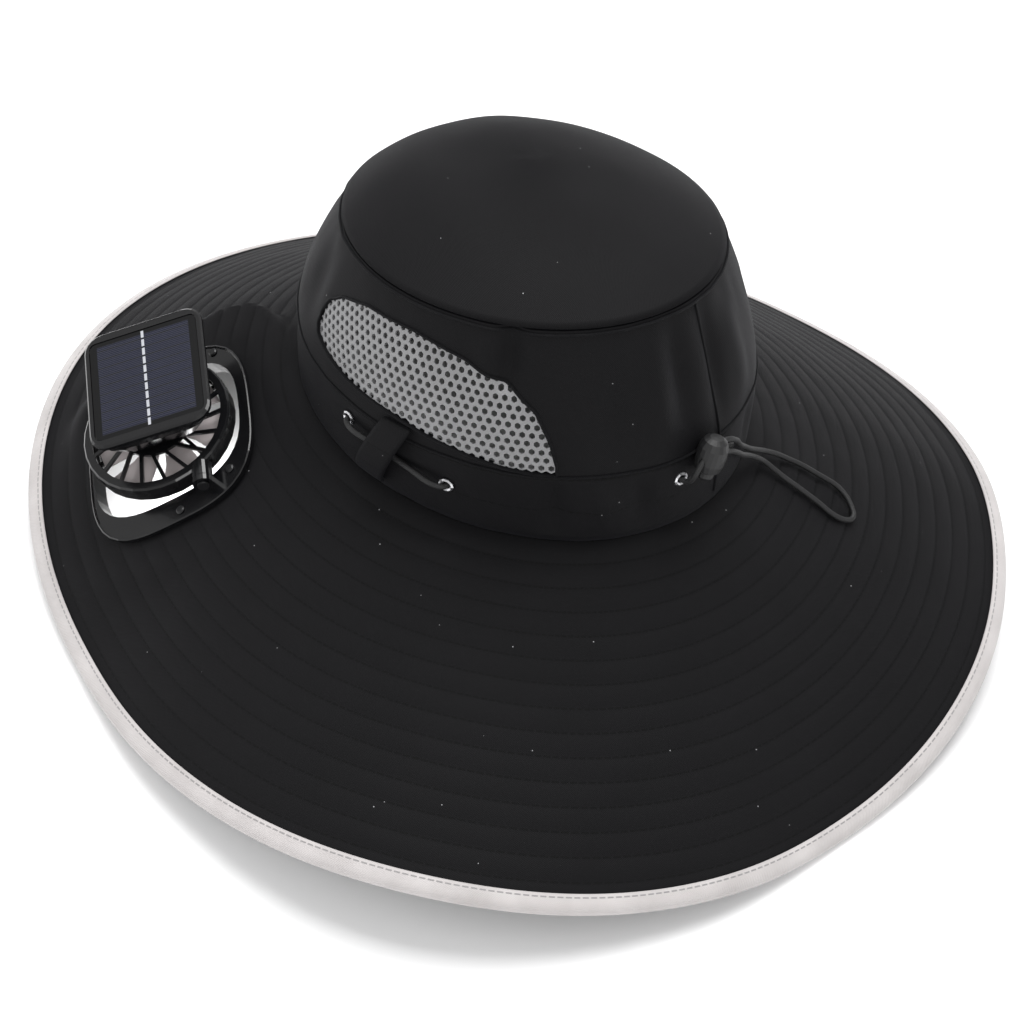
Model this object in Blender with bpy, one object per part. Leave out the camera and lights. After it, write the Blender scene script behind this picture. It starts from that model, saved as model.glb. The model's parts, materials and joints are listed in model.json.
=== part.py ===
"""Wide-brimmed cloth sun hat with a tilting solar fan let into its brim.

While the pieces are made, the oval seam between crown and brim lies at about z = 0, with +Z up,
-Y the front and +X the wearer's left. At the end one empty carries every piece, so that the
middle of the hat's footprint on the floor is the origin. All lengths are in metres.
"""
import math
from collections import namedtuple

import bmesh
import bpy
from mathutils import Matrix, Vector

# Head opening and crown
HEAD_HALF_LENGTH = 0.1049
HEAD_HALF_WIDTH = 0.0920
SEAM_SLOPE_LEFT = 0.003
SEAM_SLOPE_BACK = -0.016
TIP_HALF_LENGTH = 0.0818
TIP_HALF_WIDTH = 0.0780
TIP_HEIGHT = 0.0876
TIP_FORWARD = 0.0028
TIP_SLOPE_LEFT = 0.060
TIP_SLOPE_BACK = 0.072
WALL_BULGE = 0.0075
DOME_HEIGHT = 0.030
DOME_FORWARD = 0.012
BAND_HEIGHT = 0.0325
CLOTH = 0.0016
GAP = 0.0003

# Brim and its edge
BRIM_WIDTH = 0.1508
BRIM_CLOTH = 0.0024
BRIM_LIP = 0.0034
BINDING_WIDTH = 0.0065
BINDING_CLOTH = 0.0010
MEAN_DROOP = math.radians(33.3)

# Drawcord, its eyelets and the loops over it
CORD_RADIUS = 0.00125
EYELET_RADIUS = 0.0034
EYELET_BORE = 0.0019
EYELET_THICK = 0.0009
LOOP_WIDTH = 0.0145
LOOP_CLOTH = 0.0016
LOOP_STAND = 0.0050
SIDE_CORD_STAND = 0.0018
LOCK_RADIUS = 0.0065
LOCK_LENGTH = 0.0165
LOCK_CENTRE = Vector((0.0118, 0.1080, 0.0358))
LOCK_LEAN = math.radians(14)
BUTTON_RADIUS = 0.0038
BUTTON_PROUD = 0.0030
BUTTON_TRAVEL = 0.0018
RUNNING_GAP = 0.0003

# Solar fan: its place on the brim, then its moulded base
FAN_ANGLE = math.radians(315.6)
FAN_SHARE = 0.468
FAN_TILT = math.radians(37.1)
FAN_TILT_TOWARDS = math.radians(-26.2)
FAN_SPIN = math.radians(-16.5)
FLAT_MARGIN = 0.0145
FLAT_BLEND = 0.010
FLANGE_HALF = 0.0443
FLANGE_SQUARENESS = 3.2
FLANGE_THICK = 0.0019
FLANGE_LIP = 0.0008
HOLE_HALF_U = 0.0404
HOLE_HALF_V = 0.0335
HOLE_CENTRE = Vector((0.0020, -0.0025))
HOLE_SQUARENESS = 3.0
COLLAR_WALL = 0.0014
COLLAR_DEPTH = 0.0060
BACKING_THICK = 0.0014
SCREW_RADIUS = 0.0021
SCREW_THICK = 0.0007

# Fan head: drum, hinge, panel
HEAD_OPEN = math.radians(13.7)
DRUM_RADIUS = 0.0350
DRUM_DEPTH = 0.0090
DRUM_WALL = 0.0022
DRUM_MOUTH = 0.0310
DRUM_CENTRE = Vector((-0.0023, -0.0025, 0.0150))
GRILLE_THICK = 0.0014
TOP_HUB_RADIUS = 0.0170
TOP_BARS = 18
TOP_BAR_WIDTH = 0.0018
BOTTOM_HUB_RADIUS = 0.0090
BOTTOM_BARS = 9
BAR_SWEEP = math.radians(14)
MOTOR_RADIUS = 0.0100
MOTOR_DEPTH = 0.0030
SHAFT_RADIUS = 0.0010
BLADES = 7
BLADE_RADIUS = 0.0297
BLADE_THICK = 0.0008
BLADE_ARC = math.radians(38)
HUB_RADIUS = 0.0085
HINGE_AT = Vector((-0.0195, 0.0, 0.0080))
HINGE_RADIUS = 0.0046
PIN_RADIUS = 0.0014
EAR_FACE = 0.0333
EAR_THICK = 0.0027
PANEL_U = 0.0565
PANEL_V = 0.0635
PANEL_THICK = 0.0032
PANEL_CORNER = 0.0085
PANEL_CENTRE = Vector((-0.0043, -0.0116))
PANEL_TOP = 0.0187
CELL_MARGIN_U = 0.0028
CELL_MARGIN_V = 0.0048
CELL_THICK = 0.0005

# Fineness of the meshes
HEAD_COLUMNS = 46
BRIM_COLUMNS = 60
BRIM_SHARES = (0.0, 0.09, 0.175, 0.32, 0.47, 0.62, 0.77, 0.87, 1.0 - BINDING_WIDTH / BRIM_WIDTH, 1.0)
FLANGE_COLUMNS = 56

Droop = namedtuple("Droop", "angle share")
BRIM_DROOP = (  # degrees round the hat from +X, share of MEAN_DROOP
    Droop(0, 1.024), Droop(30, 0.802), Droop(60, 1.012), Droop(82, 1.153), Droop(120, 0.901),
    Droop(140, 0.823), Droop(180, 1.015), Droop(210, 1.078), Droop(240, 1.054), Droop(285, 0.943),
    Droop(335, 1.159))

Fold = namedtuple("Fold", "angle low high width depth")
CROWN_FOLDS = (  # degrees, heights as shares of the wall, half-width in degrees, share of WALL_BULGE
    Fold(32, 0.72, 1.05, 3.5, -0.55), Fold(27, 0.70, 1.02, 4.0, 0.25), Fold(58, 0.40, 0.85, 6.0, -0.30),
    Fold(72, 0.38, 0.95, 4.0, 0.30), Fold(80, 0.42, 1.00, 3.5, -0.45), Fold(93, 0.40, 1.02, 3.0, -0.40),
    Fold(104, 0.38, 0.90, 5.0, 0.25), Fold(135, 0.40, 0.80, 6.0, -0.25), Fold(211, 0.42, 0.90, 6.0, -0.30),
    Fold(250, 0.40, 0.85, 7.0, 0.25), Fold(285, 0.40, 0.80, 6.0, -0.30), Fold(322, 0.45, 0.95, 6.0, -0.35))
BAND_FOLDS = (
    Fold(44, 0.02, 0.36, 3.0, -0.35), Fold(56, 0.04, 0.36, 3.5, 0.25), Fold(66, 0.02, 0.36, 3.0, -0.35),
    Fold(110, 0.04, 0.36, 4.0, -0.30), Fold(128, 0.02, 0.36, 4.0, 0.20), Fold(232, 0.02, 0.36, 5.0, -0.25),
    Fold(304, 0.02, 0.36, 5.0, -0.25))

Edge = namedtuple("Edge", "angle low high")
WINDOW = (  # degrees, lower and upper edge as shares of the wall, front to back
    Edge(-28.5, 0.590, 0.640), Edge(-27.0, 0.545, 0.720), Edge(-22.0, 0.515, 0.790), Edge(-12.0, 0.485, 0.850),
    Edge(5.0, 0.470, 0.868), Edge(20.0, 0.430, 0.832), Edge(32.0, 0.400, 0.760), Edge(39.0, 0.392, 0.660),
    Edge(42.5, 0.390, 0.530), Edge(44.0, 0.390, 0.420))

Eyelet = namedtuple("Eyelet", "name angle share")
EYELETS = (
    Eyelet("eyelet_left_front", -10.0, 0.278), Eyelet("eyelet_left_back", 18.5, 0.212),
    Eyelet("eyelet_right_front", 190.0, 0.278), Eyelet("eyelet_right_back", 161.5, 0.212),
    Eyelet("eyelet_rear_left", 76.9, 0.262), Eyelet("eyelet_rear_right", 94.8, 0.285))

# The drawcord's routes, chosen by hand
LOOP_ROUTE = (
    (0.0078, 0.1071, 0.0375), (0.0020, 0.1086, 0.0378), (-0.0045, 0.1090, 0.0332), (-0.0130, 0.1067, 0.0234),
    (-0.0212, 0.1045, 0.0155), (-0.0300, 0.1030, 0.0072), (-0.0403, 0.1032, -0.0006), (-0.0484, 0.1062, -0.0061),
    (-0.0547, 0.1103, -0.0111), (-0.0592, 0.1149, -0.0147), (-0.0627, 0.1197, -0.0181), (-0.0662, 0.1242, -0.0215),
    (-0.0686, 0.1281, -0.0241), (-0.0692, 0.1322, -0.0264), (-0.0684, 0.1360, -0.0282), (-0.0671, 0.1390, -0.0299),
    (-0.0652, 0.1415, -0.0311), (-0.0622, 0.1422, -0.0312), (-0.0590, 0.1410, -0.0300), (-0.0561, 0.1384, -0.0281),
    (-0.0539, 0.1350, -0.0256), (-0.0524, 0.1315, -0.0231), (-0.0506, 0.1278, -0.0204), (-0.0487, 0.1240, -0.0178),
    (-0.0462, 0.1195, -0.0145), (-0.0437, 0.1150, -0.0114), (-0.0415, 0.1106, -0.0081), (-0.0388, 0.1070, -0.0043),
    (-0.0345, 0.1053, 0.0000), (-0.0268, 0.1048, 0.0066), (-0.0160, 0.1073, 0.0160), (-0.0080, 0.1094, 0.0238),
    (-0.0010, 0.1104, 0.0302), (0.0040, 0.1102, 0.0332), (0.0075, 0.1097, 0.0342))
LEFT_ROUTE = (
    (0.0216, 0.1008, 0.0236), (0.0216, 0.1048, 0.0242), (0.0214, 0.1072, 0.0280), (0.0200, 0.1080, 0.0325),
    (0.0168, 0.1080, 0.0360))
RIGHT_ROUTE = (
    (-0.0082, 0.1022, 0.0256), (-0.0082, 0.1053, 0.0258), (-0.0030, 0.1053, 0.0280), (0.0030, 0.1041, 0.0310),
    (0.0095, 0.1048, 0.0335))

PIECES = []
Z_AXIS = Vector((0, 0, 1))


def clear_scene():
    """Remove every object that the scene starts with."""
    for obj in list(bpy.data.objects):
        bpy.data.objects.remove(obj, do_unlink=True)


def material(name, colour, roughness, metallic=0.0, alpha=1.0):
    """A plain Principled finish."""
    mat = bpy.data.materials.get(name)
    if mat is None:
        mat = bpy.data.materials.new(name)
        mat.use_nodes = True
        shader = mat.node_tree.nodes["Principled BSDF"]
        shader.inputs["Base Color"].default_value = (*colour, 1.0)
        shader.inputs["Roughness"].default_value = roughness
        shader.inputs["Metallic"].default_value = metallic
        shader.inputs["Alpha"].default_value = alpha
    return mat


def black_cloth():
    return material("black_cloth", (0.018, 0.018, 0.021), 0.8)


def silver_tape():
    return material("silver_tape", (0.48, 0.45, 0.44), 0.6)


def grey_mesh():
    return material("grey_mesh", (0.42, 0.42, 0.43), 0.5)


def steel():
    return material("steel", (0.62, 0.62, 0.64), 0.25, 1.0)


def black_plastic():
    return material("black_plastic", (0.014, 0.014, 0.016), 0.3)


def pale_plastic():
    return material("pale_plastic", (0.62, 0.58, 0.58), 0.35)


def blue_cells():
    return material("blue_cells", (0.012, 0.016, 0.050), 0.15)


def add_piece(name, bm, finish, smooth=40.0, matrix=None):
    """Turn a bmesh into a named object."""
    bmesh.ops.recalc_face_normals(bm, faces=bm.faces)
    mesh = bpy.data.meshes.new(name)
    bm.to_mesh(mesh)
    bm.free()
    mesh.shade_smooth()
    mesh.set_sharp_from_angle(angle=math.radians(smooth))
    mesh.materials.append(finish)
    obj = bpy.data.objects.new(name, mesh)
    bpy.context.collection.objects.link(obj)
    if matrix is not None:
        obj.matrix_world = matrix
    PIECES.append(obj)
    return obj


def cutter(name, bm, matrix=None):
    """A closed shape that only cuts."""
    obj = add_piece(name, bm, black_plastic(), matrix=matrix)
    PIECES.remove(obj)
    obj.hide_render = True
    obj.display_type = "WIRE"
    return obj


def boolean(obj, tool, operation="DIFFERENCE"):
    mod = obj.modifiers.new(operation.title(), "BOOLEAN")
    mod.operation = operation
    mod.solver = "EXACT"
    mod.object = tool


def periodic(rows, angle):
    """Smooth curve through a table of (angle, share), closed over 360 degrees."""
    count = len(rows)
    angle = angle % 360.0
    last = max(i for i in range(count) if rows[i].angle <= angle)

    def key(index):
        turn, slot = divmod(index, count)
        return rows[slot].angle + 360.0 * turn, rows[slot].share

    (a0, s0), (a1, s1), (a2, s2), (a3, s3) = (key(last + step) for step in (-1, 0, 1, 2))
    span = a2 - a1
    f = (angle - a1) / span
    m1 = (s2 - s0) / (a2 - a0) * span
    m2 = (s3 - s1) / (a3 - a1) * span
    return ((2 * f**3 - 3 * f**2 + 1) * s1 + (f**3 - 2 * f**2 + f) * m1
            + (3 * f**2 - 2 * f**3) * s2 + (f**3 - f**2) * m2)


def smoothstep(value):
    value = min(1.0, max(0.0, value))
    return value * value * (3 - 2 * value)


def head_oval(angle):
    """Point of the crown-to-brim seam."""
    x = HEAD_HALF_WIDTH * math.cos(angle)
    y = HEAD_HALF_LENGTH * math.sin(angle)
    return Vector((x, y, SEAM_SLOPE_LEFT * x + SEAM_SLOPE_BACK * y))


def outward(angle):
    """Level direction square to the head oval."""
    return Vector((math.cos(angle) / HEAD_HALF_WIDTH, math.sin(angle) / HEAD_HALF_LENGTH, 0)).normalized()


def tip_oval(angle):
    """Point of the seam between the crown's side and its tip."""
    x = TIP_HALF_WIDTH * math.cos(angle)
    y = TIP_HALF_LENGTH * math.sin(angle) - TIP_FORWARD
    return Vector((x, y, TIP_HEIGHT + TIP_SLOPE_LEFT * x + TIP_SLOPE_BACK * y))


def fold_depth(angle, share):
    """How far the folds push the crown's cloth out at one place."""
    degrees = math.degrees(angle) % 360.0
    total = 0.0
    for fold in CROWN_FOLDS + BAND_FOLDS:
        away = (degrees - fold.angle + 180.0) % 360.0 - 180.0
        along = (share - fold.low) / (fold.high - fold.low)
        if 0.0 < along < 1.0:
            total += fold.depth * math.exp(-(away / fold.width) ** 2) * math.sin(math.pi * along)
    return total * WALL_BULGE


def wall_point(angle, share, out=0.0):
    """Point on the crown's wall, from the seam (0) to the tip (1), moved out along the level normal."""
    swell = WALL_BULGE * math.sin(math.pi * share) + fold_depth(angle, share) + out
    return head_oval(angle).lerp(tip_oval(angle), share) + outward(angle) * swell


def fan_frame():
    """Frame of the fan's base: U away from the crown, V along the brim to the back, N off the cloth."""
    place = bare_brim_point(FAN_ANGLE, FAN_SHARE)
    turn = (Matrix.Rotation(FAN_TILT_TOWARDS, 4, "Z") @ Matrix.Rotation(FAN_TILT, 4, "Y")
            @ Matrix.Rotation(FAN_SPIN, 4, "Z"))
    return Matrix.Translation(place) @ turn


def bare_brim_point(angle, share):
    """Point on the brim's upper face before the fan's base flattens it."""
    droop = MEAN_DROOP * periodic(BRIM_DROOP, math.degrees(angle))
    reach = BRIM_WIDTH * share
    return head_oval(angle) + outward(angle) * reach * math.cos(droop) - Z_AXIS * reach * math.sin(droop)


def superellipse(half_u, half_v, power, turn):
    """Point of a rounded square outline."""
    c, s = math.cos(turn), math.sin(turn)
    radius = (abs(c / half_u) ** power + abs(s / half_v) ** power) ** (-1.0 / power)
    return Vector((radius * c, radius * s))


def brim_point(angle, share, frame):
    """Point on the brim's upper face, pressed flat under the fan's base."""
    point = bare_brim_point(angle, share)
    local = frame.inverted() @ point
    size = (abs(local.x) ** FLANGE_SQUARENESS + abs(local.y) ** FLANGE_SQUARENESS) ** (1 / FLANGE_SQUARENESS)
    flat = 1.0 - smoothstep((size - FLANGE_HALF - FLAT_MARGIN) / FLAT_BLEND)
    if flat > 0.0:
        normal = frame.to_3x3() @ Z_AXIS
        drop = (point - frame.translation).dot(normal) / normal.z
        point.z -= drop * flat
    return point


def ring_solid(loops):
    """Closed solid through a ring of equal closed profiles."""
    bm = bmesh.new()
    rings = [[bm.verts.new(p) for p in loop] for loop in loops]
    count = len(loops[0])
    for here, there in zip(rings, rings[1:] + rings[:1]):
        for i in range(count):
            j = (i + 1) % count
            bm.faces.new((here[i], here[j], there[j], there[i]))
    return bm


def patch_solid(rows_outer, rows_inner):
    """Closed solid between two equal grids of points."""
    bm = bmesh.new()
    grids = [[[bm.verts.new(p) for p in row] for row in rows] for rows in (rows_outer, rows_inner)]
    high = len(rows_outer)
    wide = len(rows_outer[0])
    for grid in grids:
        for r in range(high - 1):
            for c in range(wide - 1):
                bm.faces.new((grid[r][c], grid[r][c + 1], grid[r + 1][c + 1], grid[r + 1][c]))
    rim = ([(0, c) for c in range(wide)] + [(r, wide - 1) for r in range(1, high)]
           + [(high - 1, c) for c in range(wide - 2, -1, -1)] + [(r, 0) for r in range(high - 2, 0, -1)])
    for (r0, c0), (r1, c1) in zip(rim, rim[1:] + rim[:1]):
        bm.faces.new((grids[0][r0][c0], grids[0][r1][c1], grids[1][r1][c1], grids[1][r0][c0]))
    return bm


def prism(outline, low, high):
    """Closed prism between two heights over a flat outline."""
    bm = bmesh.new()
    bottom = [bm.verts.new((p[0], p[1], low)) for p in outline]
    top = [bm.verts.new((p[0], p[1], high)) for p in outline]
    bm.faces.new(bottom[::-1])
    bm.faces.new(top)
    for i in range(len(outline)):
        j = (i + 1) % len(outline)
        bm.faces.new((bottom[i], bottom[j], top[j], top[i]))
    return bm


def cylinder(radius, low, high, sides):
    turns = [2 * math.pi * k / sides for k in range(sides)]
    return prism([(radius * math.cos(t), radius * math.sin(t)) for t in turns], low, high)


def turned(profile, sides):
    """Closed solid of revolution about Z. Each profile end on the axis becomes one point."""
    bm = bmesh.new()
    rings = []
    for radius, height in profile:
        if radius == 0.0:
            rings.append([bm.verts.new((0, 0, height))] * sides)
            continue
        turns = [2 * math.pi * k / sides for k in range(sides)]
        rings.append([bm.verts.new((radius * math.cos(t), radius * math.sin(t), height)) for t in turns])
    closed = profile[0][0] > 0.0
    for here, there in zip(rings, rings[1:] + (rings[:1] if closed else [])):
        for k in range(sides):
            j = (k + 1) % sides
            corners = [here[k], here[j], there[j], there[k]]
            faces = [v for i, v in enumerate(corners) if v not in corners[:i]]
            if len(faces) > 2:
                bm.faces.new(faces)
    return bm


def join_into(bm, other, matrix=None):
    """Copy one bmesh's shape into another."""
    mesh = bpy.data.meshes.new("joined")
    other.to_mesh(mesh)
    other.free()
    if matrix is not None:
        mesh.transform(matrix)
    bm.from_mesh(mesh)
    bpy.data.meshes.remove(mesh)


def columns(count):
    return [2 * math.pi * k / count for k in range(count)]


def make_brim(frame):
    """Quilted brim: a thin drooping cone whose inner lip carries the crown."""
    loops = []
    for angle in columns(BRIM_COLUMNS):
        droop = MEAN_DROOP * periodic(BRIM_DROOP, math.degrees(angle))
        down = (outward(angle) * math.sin(droop) + Z_AXIS * math.cos(droop)) * BRIM_CLOTH
        top = [brim_point(angle, share, frame) for share in BRIM_SHARES]
        lip = top[0] - outward(angle) * BRIM_LIP
        loops.append([lip] + top + [p - down for p in top[:0:-1]] + [top[0] - Z_AXIS * BRIM_CLOTH]
                     + [lip - Z_AXIS * BRIM_CLOTH])
    brim = add_piece("brim", ring_solid(loops), black_cloth())
    grow = COLLAR_WALL + 2 * GAP
    outline = [superellipse(HOLE_HALF_U + grow, HOLE_HALF_V + grow, HOLE_SQUARENESS, t) + HOLE_CENTRE
               for t in columns(FLANGE_COLUMNS)]
    boolean(brim, cutter("brim_hole", prism(outline, -4 * BRIM_CLOTH, 4 * BRIM_CLOTH), frame))


def make_edge_binding(frame):
    """Folded tape round the brim's edge."""
    loops = []
    for angle in columns(BRIM_COLUMNS):
        droop = MEAN_DROOP * periodic(BRIM_DROOP, math.degrees(angle))
        along = outward(angle) * math.cos(droop) - Z_AXIS * math.sin(droop)
        up = outward(angle) * math.sin(droop) + Z_AXIS * math.cos(droop)
        edge = brim_point(angle, 1.0, frame)
        start = brim_point(angle, BRIM_SHARES[-2], frame)
        thick = BINDING_CLOTH
        low = BRIM_CLOTH
        loops.append([
            start + up * GAP, start + up * (GAP + thick), edge + up * (GAP + thick),
            edge + along * (GAP + thick) - up * (0.5 * low), edge - up * (low + GAP + thick),
            start - up * (low + GAP + thick), start - up * (low + GAP),
            edge + along * GAP - up * (low + GAP), edge + along * GAP + up * GAP])
    add_piece("edge_binding", ring_solid(loops), silver_tape())


def wall_ring(name, shares, finish):
    """Closed ring of crown cloth between the first and last share of the wall."""
    loops = []
    for angle in columns(HEAD_COLUMNS):
        outer = [wall_point(angle, share) for share in shares]
        inner = [wall_point(angle, share, -CLOTH) for share in shares]
        loops.append(outer + inner[::-1])
    return add_piece(name, ring_solid(loops), finish)


def radial_frame(angle, share, out=0.0):
    """Frame on the crown's wall with its Z axis pointing out of the cloth."""
    place = wall_point(angle, share, out)
    step = 0.02
    rise = (wall_point(angle, share + step) - wall_point(angle, share - step)).normalized()
    level = (wall_point(angle + step, share) - wall_point(angle - step, share)).normalized()
    normal = level.cross(rise).normalized()
    across = rise.cross(normal).normalized()
    turn = Matrix((across, rise, normal)).transposed().to_4x4()
    return Matrix.Translation(place) @ turn


def make_crown_band():
    """Drawcord channel at the foot of the crown, with its eyelet holes."""
    shares = (GAP / TIP_HEIGHT, 0.10, 0.24, BAND_HEIGHT / TIP_HEIGHT)
    band = wall_ring("crown_band", shares, black_cloth())
    drills = bmesh.new()
    for eyelet in EYELETS:
        place = radial_frame(math.radians(eyelet.angle), eyelet.share)
        join_into(drills, cylinder(EYELET_BORE + 2 * GAP, -3 * CLOTH, 3 * CLOTH, 8), place)
    boolean(band, cutter("eyelet_holes", drills))


def window_patch(grow, out_high, out_low, mirrored):
    """Leaf-shaped stretch of the wall, made longer and taller by grow."""
    mean_radius = 0.5 * (HEAD_HALF_LENGTH + TIP_HALF_LENGTH)
    more_share = grow / TIP_HEIGHT
    more_angle = math.degrees(grow / mean_radius)
    middle = 0.5 * (WINDOW[0].angle + WINDOW[-1].angle)
    half = 0.5 * (WINDOW[-1].angle - WINDOW[0].angle)
    steps = 3
    outer, inner = [], []
    for step in range(steps + 1):
        row_out, row_in = [], []
        for edge in WINDOW:
            degrees = middle + (edge.angle - middle) * (half + more_angle) / half
            share = edge.low - more_share + (edge.high - edge.low + 2 * more_share) * step / steps
            angle = math.radians(180.0 - degrees if mirrored else degrees)
            row_out.append(wall_point(angle, share, out_high))
            row_in.append(wall_point(angle, share, out_low))
        outer.append(row_out)
        inner.append(row_in)
    return patch_solid(outer, inner)


def make_crown_side():
    """Crown wall above the band, with a window cut through each side."""
    low = (BAND_HEIGHT + GAP) / TIP_HEIGHT
    shares = (low, 0.50, 0.63, 0.76, 0.88, 1.0)
    side = wall_ring("crown_side", shares, black_cloth())
    for name, mirrored in (("window_hole_left", False), ("window_hole_right", True)):
        boolean(side, cutter(name, window_patch(GAP, 4 * CLOTH, -4 * CLOTH, mirrored)))


def make_mesh_windows():
    """Spacer mesh that fills the windows."""
    for name, mirrored in (("mesh_window_left", False), ("mesh_window_right", True)):
        add_piece(name, window_patch(0.0, -0.1 * CLOTH, -0.9 * CLOTH, mirrored), grey_mesh())


def tip_point(angle, share, drop=0.0):
    """Point on the domed tip, from its middle (0) to its seam (1)."""
    centre = Vector((0, -TIP_FORWARD, TIP_HEIGHT - TIP_SLOPE_BACK * TIP_FORWARD))
    normal = Vector((-TIP_SLOPE_LEFT, -TIP_SLOPE_BACK, 1)).normalized()
    seam = tip_oval(angle)
    rise = DOME_HEIGHT * (1.0 - share ** 1.8)
    shift = Vector((0, -DOME_FORWARD, 0)) * (1.0 - share) * share * 2
    return centre.lerp(seam, share) + normal * (rise - drop) + shift


def make_crown_tip():
    """Domed top panel, seated on the wall's upper edge."""
    shares = (1.0, 0.90, 0.72, 0.46, 0.17)
    lift = -GAP
    loops = []
    for angle in columns(HEAD_COLUMNS):
        outer = [tip_point(angle, share, lift - 0.5 * CLOTH) for share in shares]
        inner = [tip_point(angle, share * 0.995, lift + (0.0 if share == 1.0 else 0.5 * CLOTH)) for share in shares]
        loops.append((outer, inner))
    bm = bmesh.new()
    outer_rings = [[bm.verts.new(outer[k]) for outer, _ in loops] for k in range(len(shares))]
    inner_rings = [[bm.verts.new(inner[k]) for _, inner in loops] for k in range(len(shares))]
    for rings in (outer_rings, inner_rings):
        for here, there in zip(rings, rings[1:]):
            for c in range(HEAD_COLUMNS):
                d = (c + 1) % HEAD_COLUMNS
                bm.faces.new((here[c], here[d], there[d], there[c]))
        bm.faces.new(rings[-1])
    for c in range(HEAD_COLUMNS):
        d = (c + 1) % HEAD_COLUMNS
        bm.faces.new((outer_rings[0][c], outer_rings[0][d], inner_rings[0][d], inner_rings[0][c]))
    add_piece("crown_tip", bm, black_cloth())


def make_eyelets():
    """Pressed metal eyelets round the drawcord's holes."""
    profile = ((EYELET_BORE, -0.5 * EYELET_THICK), (EYELET_BORE, EYELET_THICK), (0.5 * (EYELET_BORE + EYELET_RADIUS),
               1.5 * EYELET_THICK), (EYELET_RADIUS, EYELET_THICK), (EYELET_RADIUS, 0.4 * EYELET_THICK),
               (EYELET_BORE + GAP, 0.4 * EYELET_THICK), (EYELET_BORE + GAP, -0.5 * EYELET_THICK))
    for eyelet in EYELETS:
        place = radial_frame(math.radians(eyelet.angle), eyelet.share)
        add_piece(eyelet.name, turned(profile, 10), steel(), matrix=place)


def make_side_loops():
    """Cloth loops sewn over the side cords, from above the band to the brim seam."""
    top, bottom = 0.44, 0.045
    steps, across = 8, 3
    for name, middle, lean in (("side_loop_left", 1.5, 4.0), ("side_loop_right", 178.5, -4.0)):
        outer, inner = [], []
        for step in range(steps + 1):
            f = step / steps
            share = top + (bottom - top) * f
            stand = LOOP_STAND * math.sin(math.pi * f) ** 0.6 + 2 * GAP
            row_out, row_in = [], []
            for c in range(across + 1):
                side = (c / across - 0.5) * LOOP_WIDTH / HEAD_HALF_LENGTH
                angle = math.radians(middle + lean * (1 - 2 * f)) + side
                row_out.append(wall_point(angle, share, stand + LOOP_CLOTH))
                row_in.append(wall_point(angle, share, stand))
            outer.append(row_out)
            inner.append(row_in)
        add_piece(name, patch_solid(outer, inner), black_cloth())


def smooth_route(points, spacing):
    """Evenly spaced points on one smooth curve through the given points."""
    pts = [Vector(p) for p in points]
    fine = []
    for i in range(len(pts) - 1):
        p0, p1, p2 = pts[max(i - 1, 0)], pts[i], pts[i + 1]
        p3 = pts[min(i + 2, len(pts) - 1)]
        for k in range(16):
            f = k / 16
            fine.append(0.5 * (2 * p1 + (p2 - p0) * f + (2 * p0 - 5 * p1 + 4 * p2 - p3) * f**2
                               + (3 * p1 - p0 - 3 * p2 + p3) * f**3))
    fine.append(pts[-1])
    lengths = [0.0]
    for a, b in zip(fine, fine[1:]):
        lengths.append(lengths[-1] + (b - a).length)
    count = max(3, round(lengths[-1] / spacing))
    result, j = [], 0
    for k in range(count + 1):
        target = lengths[-1] * k / count
        while j < len(fine) - 2 and lengths[j + 1] < target:
            j += 1
        part = (target - lengths[j]) / (lengths[j + 1] - lengths[j])
        result.append(fine[j].lerp(fine[j + 1], min(1.0, part)))
    return result


def make_cord(name, points, spacing=2 * CORD_RADIUS):
    """Round cord along a route, as a bevelled poly curve with filled caps."""
    route = smooth_route(points, spacing)
    data = bpy.data.curves.new(name, "CURVE")
    data.dimensions = "3D"
    data.bevel_depth = CORD_RADIUS
    data.bevel_resolution = 2
    data.use_fill_caps = True
    spline = data.splines.new("POLY")
    spline.points.add(len(route) - 1)
    for point, place in zip(spline.points, route):
        point.co = (*place, 1.0)
    data.materials.append(black_cloth())
    obj = bpy.data.objects.new(name, data)
    bpy.context.collection.objects.link(obj)
    PIECES.append(obj)


def make_side_cords():
    """Stretch of drawcord that shows between two eyelets, under the loop."""
    for name, front, back in (("side_cord_left", EYELETS[0], EYELETS[1]), ("side_cord_right", EYELETS[2], EYELETS[3])):
        def at(f, out):
            angle = math.radians(front.angle + (back.angle - front.angle) * f)
            return wall_point(angle, front.share + (back.share - front.share) * f, out)
        over = 1.5 * EYELET_THICK + CORD_RADIUS
        rise = (at(0.0, -0.3 * CLOTH), at(0.0, CLOTH), at(0.05, over + 2 * GAP), at(0.15, over + 3 * GAP))
        fall = (at(0.85, over + 3 * GAP), at(0.95, over + 2 * GAP), at(1.0, CLOTH), at(1.0, -0.3 * CLOTH))
        make_cord(name, [*rise, at(0.35, SIDE_CORD_STAND), at(0.65, SIDE_CORD_STAND), *fall])


def lock_frame():
    return Matrix.Translation(LOCK_CENTRE) @ Matrix.Rotation(-LOCK_LEAN, 4, "Y")


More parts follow.
